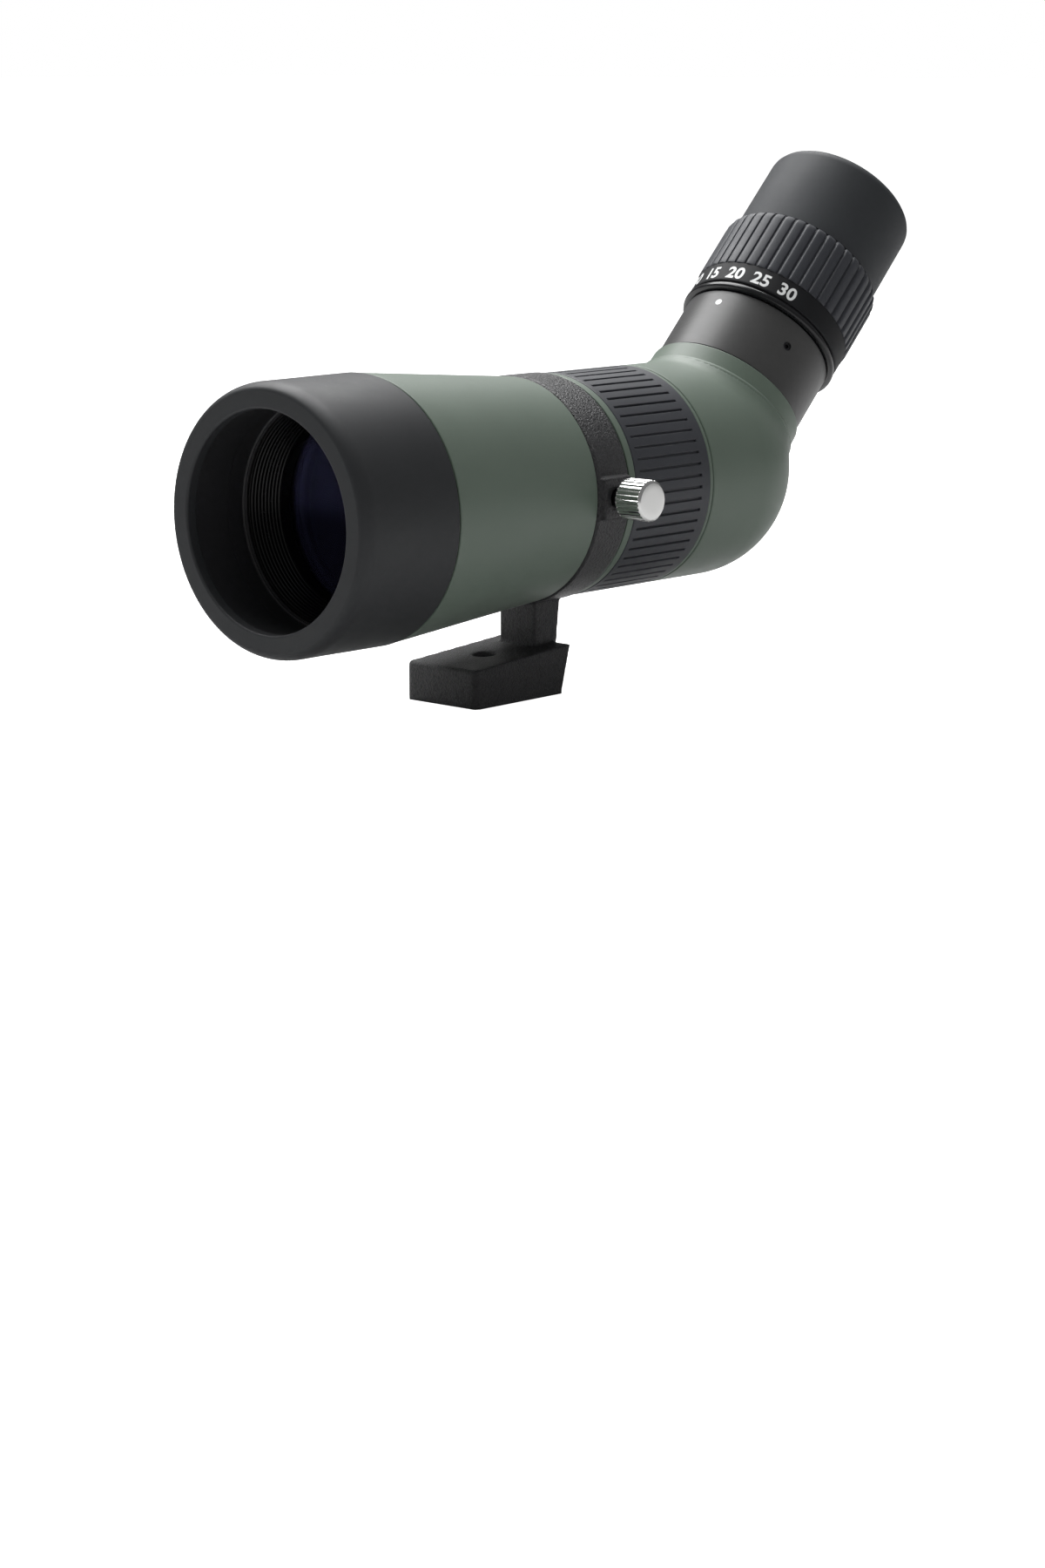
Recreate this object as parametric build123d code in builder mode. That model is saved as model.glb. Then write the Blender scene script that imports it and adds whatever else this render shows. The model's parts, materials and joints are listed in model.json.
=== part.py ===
"""Angled zoom spotting scope in its rotating tripod collar.

Frame, in millimetres: the origin is the centre of the foot's tripod thread at the foot's base,
+Z is up, +X runs along the optical axis from the objective to the eyepiece, and +Y is the side
away from the collar's thumb knob.
"""
import os
from math import atan2, ceil, cos, degrees, hypot, radians, sin, sqrt

from build123d import *

os.makedirs("parts", exist_ok=True)

# ---------------------------------------------------------------- overall sizes
axis_height = 54.6          # optical axis above the foot's base
hood_radius = 35.2          # outside of the rubber hood at its rear edge
hood_length = 34.3
tube_length = 57.5          # visible green taper between the hood and the collar
body_radius = 30.3          # prism housing and focus ring
collar_front = 11.0         # collar's front face, behind the foot's thread
collar_width = 13.1
grip_length = 31.3          # rubber on the focus ring
housing_length = 22.84      # straight part of the prism housing up to the elbow's centre
eye_angle = 45.0            # eyepiece above the optical axis
barrel_radius = 22.5        # eyepiece barrel

# ---------------------------------------------------------------- fits
running = 0.05              # radial clearance of parts that turn or slide
seat = 0.05                 # radial clearance of parts that are screwed or bonded
gap = 0.3                   # open joint line between a fixed and a turning part

# ---------------------------------------------------------------- movements
focus_half_turn = 120.0     # degrees either way from rest
focus_travel = 5.0          # focusing lens, either way
zoom_low = -43.0            # degrees to the 30 mark
zoom_high = 38.0            # degrees to the 10 mark
field_rate = 8.0 / 81.0     # mm of field group per degree of zoom
inner_rate = 3.0 / 81.0     # mm of inner group per degree of zoom
cup_twist = 120.0           # degrees from raised to lowered
cup_travel = 7.0
pin_radius = 0.9
track_radius = 1.0          # half width of every slot a pin runs in

# ---------------------------------------------------------------- stations along the optical axis
hood_rear = collar_front - tube_length
hood_front = hood_rear - hood_length
collar_rear = collar_front + collar_width
focus_front = collar_rear + gap
grip_front = focus_front + 2.4
grip_rear = grip_front + grip_length
focus_rear = grip_rear + 1.2
housing_front = focus_rear + gap
elbow_x = housing_front + housing_length
tube_rear = housing_front + 6.4
cage_rear = tube_rear + 2.45

# ---------------------------------------------------------------- radii about the optical axis
taper_front_radius = hood_radius - 0.1
taper_rear_radius = body_radius + 0.1
barrel_wall_radius = hood_radius - 2.95
thread_radius = barrel_wall_radius - 3.0
lens_bore = hood_radius - 8.9
lens_radius = lens_bore - 0.1
bearing_radius = body_radius - 2.7
liner_radius = bearing_radius + 0.65
collar_bore = liner_radius + seat
collar_radius = body_radius + 0.35
ring_bearing = body_radius - 3.8
tube_bore = ring_bearing - 2.3
core_radius = body_radius - 2.1

# ---------------------------------------------------------------- stations along the eyepiece axis
neck_top = 26.4
barrel_bottom = neck_top + 0.45
barrel_top = 46.7
band_bottom = 48.6
band_top = 56.1
core_shoulder = 61.5
sleeve_top = 64.0
tube_flange = 65.2
grip_top = 76.0
cup_bottom = 73.8
eye_tube_top = 91.5
cup_top = 102.8
field_pin_s = 53.0
inner_pin_s = 58.2
cup_pin_s = 78.2

# ---------------------------------------------------------------- radii about the eyepiece axis
neck_radius = barrel_radius + 0.9
rim_radius = barrel_radius + 1.8
neck_bore = barrel_radius - 2.45
adapter_bore = neck_bore - 2.35
sleeve_radius = barrel_radius - 3.0
sleeve_bore = barrel_radius - 5.0
flange_radius = barrel_radius + 1.5
band_radius = barrel_radius + 1.25
zoom_grip_radius = barrel_radius + 1.65
zoom_seat_radius = barrel_radius + 0.4
cup_radius = barrel_radius - 0.2
cup_pocket = cup_radius + 0.15
eye_tube_radius = barrel_radius - 3.6
eye_bore = barrel_radius - 6.9

# ---------------------------------------------------------------- foot and knob
foot_length = 34.3
foot_half_length = foot_length / 2
foot_half_width = 12.65
foot_front_height = 10.4
foot_rear_height = 13.2
stem_half_width = 6.4
stem_front = collar_front + 2.0
stem_rear_low = foot_half_length + 4.3
stem_rear_high = collar_rear - 0.6
tap_radius = 2.6            # minor radius of a 1/4 in 20 thread
tap_depth = 8.0
relief_radius = 3.1
knob_x = collar_front + 6.5
knob_radius = 5.1
knob_base = collar_radius + 4.35
knob_end = knob_base + 8.7
screw_radius = 2.5
boss_face = collar_radius + 1.4

# ---------------------------------------------------------------- axes and planes
c45 = cos(radians(eye_angle))
s45 = sin(radians(eye_angle))
A = Vector(c45, 0, s45)                 # eyepiece axis, towards the eye
UP = Vector(-s45, 0, c45)               # its upper side
ELBOW = Vector(elbow_x, 0, axis_height)
OPTICAL = Axis((0, 0, axis_height), (1, 0, 0))
EYE = Axis(tuple(ELBOW), tuple(A))
AXIAL = Plane(origin=(0, 0, axis_height), x_dir=(1, 0, 0), z_dir=(0, -1, 0))
EYE_AXIAL = Plane(origin=tuple(ELBOW), x_dir=tuple(A), z_dir=(0, -1, 0))
OUT = (Align.CENTER, Align.CENTER, Align.MIN)


def across(x):
    """Plane square to the optical axis at x."""
    return Plane(origin=(x, 0, axis_height), x_dir=(0, 1, 0), z_dir=(1, 0, 0))


def eye_across(s):
    """Plane square to the eyepiece axis at s."""
    return Plane(origin=tuple(ELBOW + A * s), x_dir=(0, -1, 0), z_dir=tuple(A))


def radial(x, angle, r):
    """Plane facing outwards at radius r, the angle right-handed about +X from the top."""
    a = radians(angle)
    out = Vector(0, -sin(a), cos(a))
    origin = Vector(x, 0, axis_height) + out * r
    return Plane(origin=tuple(origin), x_dir=(1, 0, 0), z_dir=tuple(out))


def eye_radial(s, angle, r):
    """Plane facing outwards at radius r, the angle right-handed about the eyepiece axis."""
    a = radians(angle)
    out = UP * cos(a) + Vector(0, -1, 0) * sin(a)
    origin = ELBOW + A * s + out * r
    return Plane(origin=tuple(origin), x_dir=tuple(A), z_dir=tuple(out))


def outline(plane, points):
    """Closed outline in (station, radius) on an axial plane."""
    with BuildSketch(plane) as sketch:
        with BuildLine():
            Polyline(*points, close=True)
        make_face()
    add(sketch.sketch)


def dome(x0, xe, r):
    """Middle point of the arc from the vertex (x0, 0) to the edge (xe, r)."""
    sag = xe - x0
    big = (r * r + sag * sag) / (2 * abs(sag))
    fall = big - sqrt(big * big - r * r / 4)
    return (x0 + fall * (1 if sag > 0 else -1), r / 2)


def lens_outline(plane, r, front, front_edge, rear_edge, rear):
    """Half section of a lens with two curved faces and a plain edge."""
    with BuildSketch(plane) as sketch:
        with BuildLine():
            ThreePointArc((front, 0), dome(front, front_edge, r), (front_edge, r))
            Line((front_edge, r), (rear_edge, r))
            ThreePointArc((rear_edge, r), dome(rear, rear_edge, r), (rear, 0))
            Line((rear, 0), (front, 0))
        make_face()
    add(sketch.sketch)


def helical_track(place, start, rate, angle, low, high, r, hand, half_width, depth, piece=6.7):
    """Cut the groove of a pin that moves rate mm along for each degree of turn."""
    count = ceil((high - low) / piece)
    step = (high - low) / count
    pitch = degrees(rate)
    run = hypot(pitch, r) * radians(step) + 0.4
    lean = hand * degrees(atan2(r, pitch))
    for k in range(count):
        turn = low + step * (k + 0.5)
        with Locations(place(start + rate * turn, angle - hand * turn, r - 1)):
            Box(run, 2 * half_width, depth + 1, rotation=(0, 0, lean), align=OUT, mode=Mode.SUBTRACT)
    for turn in (low, high):
        with Locations(place(start + rate * turn, angle - hand * turn, r - 1)):
            Cylinder(half_width, depth + 1, align=OUT, mode=Mode.SUBTRACT)


# ================================================================ rotating collar and foot
with BuildPart() as collar_foot:
    outline(AXIAL, [(collar_front + gap / 2, collar_bore), (collar_front + gap / 2, collar_radius - 0.6),
                    (collar_front + gap / 2 + 0.6, collar_radius), (collar_rear - 0.6, collar_radius),
                    (collar_rear, collar_radius - 0.6), (collar_rear, collar_bore)])
    revolve(axis=OPTICAL)
    # stem, from inside the foot up into the ring
    with BuildSketch(Plane.XZ.offset(-stem_half_width)):
        with BuildLine():
            Polyline((stem_front, 1), (stem_front, axis_height - collar_bore - 1.2),
                     (stem_rear_high, axis_height - collar_bore - 1.2), (stem_rear_low, 6),
                     (foot_half_length, 1), close=True)
        make_face()
    extrude(amount=2 * stem_half_width)
    # foot block with its top rising to the rear
    with BuildSketch(Plane.XZ.offset(-foot_half_width)):
        with BuildLine():
            Polyline((-foot_half_length, 0), (-foot_half_length, foot_front_height),
                     (stem_rear_low - 0.7, foot_rear_height), (foot_half_length, 0), close=True)
        make_face()
    extrude(amount=2 * foot_half_width)
    upright = collar_foot.edges().filter_by(Axis.Z).filter_by(lambda e: abs(e.center().Y) > foot_half_width - 1)
    fillet(upright, radius=1.6)
    # boss for the clamp screw
    with Locations((knob_x + 0.1, -(boss_face + bearing_radius) / 2, axis_height)):
        Box(10.8, boss_face - bearing_radius, 11.0)
    # bore clear through everything added
    with Locations(Location((collar_front - 4, 0, axis_height), (0, 90, 0))):
        Cylinder(collar_bore, collar_width + 8, align=OUT, mode=Mode.SUBTRACT)
    with Locations(radial(knob_x, 90, bearing_radius)):
        Cylinder(screw_radius + running, 8, align=OUT, mode=Mode.SUBTRACT)
    Cylinder(tap_radius, tap_depth, align=OUT, mode=Mode.SUBTRACT)
    with Locations((0, 0, tap_depth)):
        Cylinder(relief_radius, 12, align=OUT, mode=Mode.SUBTRACT)
collar_foot.part.label = "collar_foot"
export_step(collar_foot.part, "parts/collar_foot.step")

with BuildPart() as collar_liner:
    outline(AXIAL, [(collar_front + gap, bearing_radius + running), (collar_front + gap, liner_radius),
                    (collar_rear - 0.1, liner_radius), (collar_rear - 0.1, bearing_radius + running)])
    revolve(axis=OPTICAL)
    with Locations(radial(knob_x, 90, bearing_radius - 1)):
        Cylinder(screw_radius + running, 4, align=OUT, mode=Mode.SUBTRACT)
collar_liner.part.label = "collar_liner"
export_step(collar_liner.part, "parts/collar_liner.step")

# ================================================================ clamp screw and knob
with BuildPart() as clamp_pad:
    with Locations(radial(knob_x, 90, bearing_radius + running)):
        Cylinder(screw_radius, 2.0, align=OUT)
clamp_pad.part.label = "clamp_pad"
export_step(clamp_pad.part, "parts/clamp_pad.step")

with BuildPart() as clamp_screw:
    with Locations(radial(knob_x, 90, bearing_radius + running + 2.02)):
        Cylinder(screw_radius, knob_base + 5.0 - bearing_radius - running - 2.02, align=OUT)
clamp_screw.part.label = "clamp_screw"
export_step(clamp_screw.part, "parts/clamp_screw.step")

flutes = 26
with BuildPart() as knob_head:
    with BuildSketch(radial(knob_x, 90, knob_base)):
        Circle(knob_radius)
        with PolarLocations(knob_radius + 0.05, flutes):
            Rectangle(0.5, 0.5, rotation=45, mode=Mode.SUBTRACT)
        Circle(screw_radius, mode=Mode.SUBTRACT)
    extrude(amount=5.0)
    with BuildSketch(radial(knob_x, 90, knob_base + 5.0)):
        Circle(knob_radius)
        with PolarLocations(knob_radius + 0.05, flutes):
            Rectangle(0.5, 0.5, rotation=45, mode=Mode.SUBTRACT)
    extrude(amount=knob_end - knob_base - 5.0)
    # crowned by a cone at both ends
    with Locations(radial(knob_x, 90, knob_base)):
        Cone(knob_radius - 0.5, knob_radius - 0.5 + 9.3, 9.3, align=OUT, mode=Mode.INTERSECT)
    with Locations(radial(knob_x, 90, knob_base - 1.0)):
        Cone(knob_radius + 9.2, knob_radius - 0.5, 9.7, align=OUT, mode=Mode.INTERSECT)
knob_head.part.label = "knob_head"
export_step(knob_head.part, "parts/knob_head.step")

# ================================================================ rubber hood and objective
with BuildPart() as hood_rubber:
    with BuildSketch(AXIAL):
        with BuildLine():
            Line((hood_front, hood_radius - 6.1), (hood_front, hood_radius - 4.0))
            RadiusArc((hood_front, hood_radius - 4.0), (hood_front + 3.35, hood_radius - 0.65), 3.35)
            Line((hood_front + 3.35, hood_radius - 0.65), (hood_front + 14.8, hood_radius - 0.3))
            Line((hood_front + 14.8, hood_radius - 0.3), (hood_rear - 0.4, hood_radius))
            Line((hood_rear - 0.4, hood_radius), (hood_rear, hood_radius - 0.4))
            Line((hood_rear, hood_radius - 0.4), (hood_rear, barrel_wall_radius))
            Line((hood_rear, barrel_wall_radius), (hood_front + 3.2, barrel_wall_radius))
            Line((hood_front + 3.2, barrel_wall_radius), (hood_front + 3.2, hood_radius - 6.9))
            Line((hood_front + 3.2, hood_radius - 6.9), (hood_front + 0.8, hood_radius - 6.9))
            Line((hood_front + 0.8, hood_radius - 6.9), (hood_front, hood_radius - 6.1))
        make_face()
    revolve(axis=OPTICAL)
hood_rubber.part.label = "hood_rubber"
export_step(hood_rubber.part, "parts/hood_rubber.step")

barrel_front_x = hood_front + 3.2 + seat
lip_x = hood_front + 21.4
cell_front = hood_rear - 3.5
barrel_rear_x = hood_rear + 8.1
with BuildPart() as hood_barrel:
    outline(AXIAL, [(barrel_front_x, hood_radius - 6.3), (barrel_front_x, barrel_wall_radius - seat),
                    (barrel_rear_x, barrel_wall_radius - seat), (barrel_rear_x, thread_radius),
                    (lip_x, thread_radius), (lip_x, thread_radius + 0.6)])
    revolve(axis=OPTICAL)
hood_barrel.part.label = "hood_barrel"
export_step(hood_barrel.part, "parts/hood_barrel.step")

# retaining ring with a stepped, glare-stopping cone inside it
steps = 9
retainer_front = lip_x + 0.6
retainer_rear = cell_front + 2.55
step_length = (cell_front - retainer_front) / steps
step_fall = (thread_radius - 0.9 - (lens_radius - 1.0)) / steps
cone_points = [(retainer_front, thread_radius - seat), (cell_front - seat, thread_radius - seat)]
cone_points += [(cell_front - seat, lens_radius - 0.1), (retainer_rear, lens_radius - 0.1)]
cone_points += [(retainer_rear, lens_radius - 1.0), (cell_front - seat, lens_radius - 1.0)]
for k in range(steps):
    ridge_x = cell_front - seat - step_length * (k + 1)
    cone_points.append((ridge_x + step_length * 0.5, lens_radius - 1.0 + step_fall * (k + 1)))
    cone_points.append((ridge_x + step_length * 0.5 - 0.05, lens_radius - 1.0 + step_fall * (k + 0.4)))
with BuildPart() as objective_retainer:
    outline(AXIAL, cone_points)
    revolve(axis=OPTICAL)
objective_retainer.part.label = "objective_retainer"
export_step(objective_retainer.part, "parts/objective_retainer.step")

cell_rear = hood_rear + 12.1
shoulder_x = cell_rear - 2.5
with BuildPart() as objective_cell:
    outline(AXIAL, [(cell_front, lens_bore), (cell_front, thread_radius - seat), (cell_rear, thread_radius - seat),
                    (cell_rear, lens_bore - 1.6), (shoulder_x, lens_bore - 1.6), (shoulder_x, lens_bore)])
    revolve(axis=OPTICAL)
objective_cell.part.label = "objective_cell"
export_step(objective_cell.part, "parts/objective_cell.step")

crown_front_edge = retainer_rear + 0.35
crown_rear_edge = crown_front_edge + 3.4
with BuildPart() as crown_lens:
    lens_outline(AXIAL, lens_radius, crown_front_edge - 3.3, crown_front_edge, crown_rear_edge, crown_rear_edge + 3.6)
    revolve(axis=OPTICAL)
crown_lens.part.label = "crown_lens"
export_step(crown_lens.part, "parts/crown_lens.step")

flint_front_edge = crown_rear_edge + 0.8
flint_rear_edge = shoulder_x - 0.2
with BuildPart() as flint_lens:
    lens_outline(AXIAL, lens_radius, flint_front_edge + 3.7, flint_front_edge, flint_rear_edge, flint_rear_edge + 1.1)
    revolve(axis=OPTICAL)
flint_lens.part.label = "flint_lens"
export_step(flint_lens.part, "parts/flint_lens.step")

with BuildPart() as lens_spacer:
    outline(AXIAL, [(crown_rear_edge + 0.25, lens_radius - 0.7), (crown_rear_edge + 0.05, lens_radius),
                    (flint_front_edge - 0.05, lens_radius), (flint_front_edge - 0.05, lens_radius - 0.7)])
    revolve(axis=OPTICAL)
lens_spacer.part.label = "lens_spacer"
export_step(lens_spacer.part, "parts/lens_spacer.step")

# ================================================================ main tube
bore_front = barrel_rear_x + 0.4
taper_bore_front = barrel_wall_radius - 1.9
taper_bore_rear = tube_bore + 3.2
bore_rear = collar_front - 5.0
ring_seat_end = collar_rear + 1.5
with BuildPart() as objective_tube:
    outline(AXIAL, [(hood_rear + 0.1, barrel_wall_radius), (hood_rear + 0.1, taper_front_radius - 0.3),
                    (hood_rear + 0.4, taper_front_radius), (collar_front - 0.3, taper_rear_radius),
                    (collar_front, taper_rear_radius - 0.3), (collar_front, bearing_radius),
                    (ring_seat_end, bearing_radius), (ring_seat_end, ring_bearing),
                    (tube_rear, ring_bearing), (tube_rear, tube_bore), (collar_front - 2.0, tube_bore),
                    (bore_rear, taper_bore_rear), (bore_front, taper_bore_front),
                    (bore_front, barrel_wall_radius)])
    revolve(axis=OPTICAL)
    # straight slot under the tube for the focusing lens's drive pin
    focus_pin_x = (grip_front + grip_rear) / 2 - 2.4
    for along in (-focus_travel, focus_travel):
        with Locations(radial(focus_pin_x + along, 180, tube_bore - 1)):
            Cylinder(track_radius, 5, align=OUT, mode=Mode.SUBTRACT)
    with Locations(radial(focus_pin_x, 180, tube_bore - 1)):
        Box(2 * focus_travel, 2 * track_radius, 5, align=OUT, mode=Mode.SUBTRACT)
objective_tube.part.label = "objective_tube"
export_step(objective_tube.part, "parts/objective_tube.step")


def taper_bore(x):
    """Radius of the tube's tapered bore at x, less the seat."""
    share = (x - bore_front) / (bore_rear - bore_front)
    return taper_bore_front + (taper_bore_rear - taper_bore_front) * share - seat


front_baffle_x = bore_front + (bore_rear - bore_front) * 0.45
with BuildPart() as front_baffle:
    outline(AXIAL, [(front_baffle_x, taper_bore(front_baffle_x)), (front_baffle_x + 3, taper_bore(front_baffle_x + 3)),
                    (front_baffle_x + 3, lens_radius - 3.2), (front_baffle_x + 1, lens_radius - 6),
                    (front_baffle_x, lens_radius - 6)])
    revolve(axis=OPTICAL)
front_baffle.part.label = "front_baffle"
export_step(front_baffle.part, "parts/front_baffle.step")

rear_baffle_x = bore_rear - 6
with BuildPart() as rear_baffle:
    outline(AXIAL, [(rear_baffle_x, taper_bore(rear_baffle_x)), (rear_baffle_x + 3, taper_bore(rear_baffle_x + 3)),
                    (rear_baffle_x + 3, lens_radius - 7.2), (rear_baffle_x + 1, lens_radius - 10),
                    (rear_baffle_x, lens_radius - 10)])
    revolve(axis=OPTICAL)
rear_baffle.part.label = "rear_baffle"
export_step(rear_baffle.part, "parts/rear_baffle.step")

with BuildPart() as collar_stop_ring:
    outline(AXIAL, [(collar_rear + 0.1, bearing_radius + seat), (collar_rear + 0.1, bearing_radius + 1.3),
                    (collar_rear + 1.3, bearing_radius + 1.3), (collar_rear + 1.3, bearing_radius + seat)])
    revolve(axis=OPTICAL)
collar_stop_ring.part.label = "collar_stop_ring"
export_step(collar_stop_ring.part, "parts/collar_stop_ring.step")

# ================================================================ focus ring
focus_rate = focus_travel / focus_half_turn
with BuildPart() as focus_core:
    outline(AXIAL, [(focus_front, bearing_radius + 1.5), (focus_front, body_radius - 0.4),
                    (focus_front + 0.3, body_radius - 0.1), (grip_front, body_radius - 0.1),
                    (grip_front, core_radius), (grip_rear, core_radius), (grip_rear, body_radius - 0.1),
                    (focus_rear, body_radius - 0.1), (focus_rear, ring_bearing + running),
                    (ring_seat_end + 0.2, ring_bearing + running), (ring_seat_end + 0.2, bearing_radius + 1.5)])
    revolve(axis=OPTICAL)
    # blind helical groove that the drive pin runs in
    helical_track(radial, focus_pin_x, focus_rate, 180, -focus_half_turn, focus_half_turn,
                  ring_bearing, 1, track_radius + 0.15, 1.2)
focus_core.part.label = "focus_core"
export_step(focus_core.part, "parts/focus_core.step")

grip_slots = 60
slot_margin = 1.9
with BuildPart() as focus_grip:
    outline(AXIAL, [(grip_front + seat, core_radius + seat), (grip_front + seat, body_radius - 0.3),
                    (grip_front + 0.4, body_radius), (grip_rear - 0.4, body_radius),
                    (grip_rear - seat, body_radius - 0.3), (grip_rear - seat, core_radius + seat)])
    revolve(axis=OPTICAL)
    with BuildSketch(across(grip_front + slot_margin)):
        with PolarLocations(body_radius + 0.2, grip_slots):
            Rectangle(1.5, 0.95)
    extrude(amount=grip_length - 2 * slot_margin - 1.6, mode=Mode.SUBTRACT)
focus_grip.part.label = "focus_grip"
export_step(focus_grip.part, "parts/focus_grip.step")

# ================================================================ focusing lens
cell_half = 7.0
with BuildPart() as focus_cell:
    outline(AXIAL, [(focus_pin_x - cell_half, tube_bore - 4.1), (focus_pin_x - cell_half, tube_bore - running),
                    (focus_pin_x + cell_half, tube_bore - running), (focus_pin_x + cell_half, tube_bore - 5.0),
                    (focus_pin_x + cell_half - 2, tube_bore - 5.0), (focus_pin_x + cell_half - 2, tube_bore - 4.1)])
    revolve(axis=OPTICAL)
    with Locations(radial(focus_pin_x, 180, tube_bore - 5)):
        Cylinder(pin_radius, 6, align=OUT, mode=Mode.SUBTRACT)
focus_cell.part.label = "focus_cell"
export_step(focus_cell.part, "parts/focus_cell.step")

with BuildPart() as focus_pin:
    with Locations(radial(focus_pin_x, 180, tube_bore - 2.9)):
        Cylinder(pin_radius - 0.02, ring_bearing + 0.9 - tube_bore + 2.9, align=OUT)
focus_pin.part.label = "focus_pin"
export_step(focus_pin.part, "parts/focus_pin.step")

focus_lens_edge = focus_pin_x + cell_half - 2.05
with BuildPart() as focus_lens:
    lens_outline(AXIAL, tube_bore - 4.15, focus_lens_edge - 3.6, focus_lens_edge - 5.4,
                 focus_lens_edge, focus_lens_edge - 1.6)
    revolve(axis=OPTICAL)
focus_lens.part.label = "focus_lens"
export_step(focus_lens.part, "parts/focus_lens.step")

with BuildPart() as focus_lens_ring:
    outline(AXIAL, [(focus_lens_edge - 8.0, tube_bore - 5.4), (focus_lens_edge - 8.0, tube_bore - 4.15),
                    (focus_lens_edge - 5.45, tube_bore - 4.15), (focus_lens_edge - 5.25, tube_bore - 5.4)])
    revolve(axis=OPTICAL)
focus_lens_ring.part.label = "focus_lens_ring"
export_step(focus_lens_ring.part, "parts/focus_lens_ring.step")

# ================================================================ prism housing
with BuildPart() as prism_housing:
    outline(AXIAL, [(housing_front, 0), (housing_front, body_radius - 0.3), (housing_front + 0.3, body_radius),
                    (elbow_x, body_radius), (elbow_x, 0)])
    revolve(axis=OPTICAL)
    with Locations(tuple(ELBOW)):
        Sphere(body_radius)
    # neck with a low rim where it leaves the housing
    outline(EYE_AXIAL, [(0, 0), (0, rim_radius), (19.9, rim_radius), (20.6, rim_radius - 0.5), (21.0, neck_radius),
                        (neck_top - 0.3, neck_radius), (neck_top, neck_radius - 0.3), (neck_top, 0)])
    revolve(axis=EYE)
    # cavity: tube socket, seal groove, chamber and neck bore
    outline(AXIAL, [(elbow_x - body_radius - 2, 0), (elbow_x - body_radius - 2, ring_bearing + seat),
                    (housing_front + 1.6, ring_bearing + seat), (housing_front + 1.6, ring_bearing + 1.55),
                    (housing_front + 3.2, ring_bearing + 1.55), (housing_front + 3.2, ring_bearing + seat),
                    (cage_rear, ring_bearing + seat), (cage_rear, ring_bearing - 1.5),
                    (elbow_x, ring_bearing - 1.5), (elbow_x, 0)])
    revolve(axis=OPTICAL, mode=Mode.SUBTRACT)
    with Locations(tuple(ELBOW)):
        Sphere(body_radius - 3.3, mode=Mode.SUBTRACT)
    outline(EYE_AXIAL, [(0, 0), (0, neck_bore), (body_radius + 2, neck_bore), (body_radius + 2, 0)])
    revolve(axis=EYE, mode=Mode.SUBTRACT)
prism_housing.part.label = "prism_housing"
export_step(prism_housing.part, "parts/prism_housing.step")

with BuildPart() as housing_seal:
    with Locations(Location((housing_front + 2.4, 0, axis_height), (0, 90, 0))):
        Torus(ring_bearing + 0.8, 0.74)
housing_seal.part.label = "housing_seal"
export_step(housing_seal.part, "parts/housing_seal.step")

# ---------------------------------------------------------------- roof prism and its cage
# The entrance face is square to the optical axis, the exit face to the eyepiece axis.
half_width = 13.0
leg = 30.0
apex_z = 16.0
apex_x = apex_z * (1 - sqrt(2))
entry_foot = (apex_x, apex_z - leg)
exit_foot = (apex_x + leg * s45, apex_z - leg * c45)
PRISM = Plane(origin=tuple(ELBOW), x_dir=(1, 0, 0), z_dir=(0, -1, 0))
with BuildPart() as roof_prism:
    with BuildSketch(PRISM):
        with BuildLine():
            Polyline((apex_x, apex_z), entry_foot, exit_foot, close=True)
        make_face()
    extrude(amount=half_width, both=True)
    # two roof faces meeting at a right angle along the foot edge
    ridge = Vector(exit_foot[0] - entry_foot[0], 0, exit_foot[1] - entry_foot[1]).normalized()
    away = Vector(ridge.Z, 0, -ridge.X)
    ridge_start = ELBOW + Vector(entry_foot[0], 0, entry_foot[1]) - ridge * 10
    ROOF = Plane(origin=tuple(ridge_start), x_dir=(0, 1, 0), z_dir=tuple(ridge))
    for side in (-1, 1):
        with BuildSketch(ROOF):
            with BuildLine():
                if (ROOF.y_dir - away).length < 1:
                    Polyline((0, 0), (side * 20, -20), (side * 20, 5), (0, 5), close=True)
                else:
                    Polyline((0, 0), (side * 20, 20), (side * 20, -5), (0, -5), close=True)
            make_face()
        extrude(amount=60, mode=Mode.SUBTRACT)
roof_prism.part.label = "roof_prism"
export_step(roof_prism.part, "parts/roof_prism.step")

cheek = 2.0
disc_x = cage_rear - 2.4
front_edge = cage_rear - elbow_x
clip_low = Vector(front_edge, 0, 15.0)
clip_high = Vector(-5.0, 0, 18.0)
slope = (clip_high - clip_low).normalized()
lift = Vector(-slope.Z, 0, slope.X)
with BuildPart() as prism_cage:
    outline(AXIAL, [(disc_x, 12.8), (disc_x, ring_bearing), (cage_rear - seat, ring_bearing), (cage_rear - seat, 12.8)])
    revolve(axis=OPTICAL)
    for side in (-1, 1):
        with BuildSketch(PRISM.offset(side * (half_width + seat + cheek / 2))):
            with BuildLine():
                Polyline((front_edge - 1, -13), (front_edge - 1, 14.67), (clip_high.X, clip_high.Z), (15, -2),
                         (14, -8), (-6, -15.5), close=True)
            make_face()
        extrude(amount=cheek / 2, both=True)
    for side in (-1, 1):
        spot = ELBOW + (clip_low + clip_high) * 0.5 + Vector(0, side * (half_width + seat + cheek / 2), 0)
        with Locations(Plane(origin=tuple(spot - lift * 4), x_dir=tuple(slope), z_dir=tuple(lift))):
            Cylinder(0.62, 6, align=OUT, mode=Mode.SUBTRACT)
prism_cage.part.label = "prism_cage"
export_step(prism_cage.part, "parts/prism_cage.step")

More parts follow.
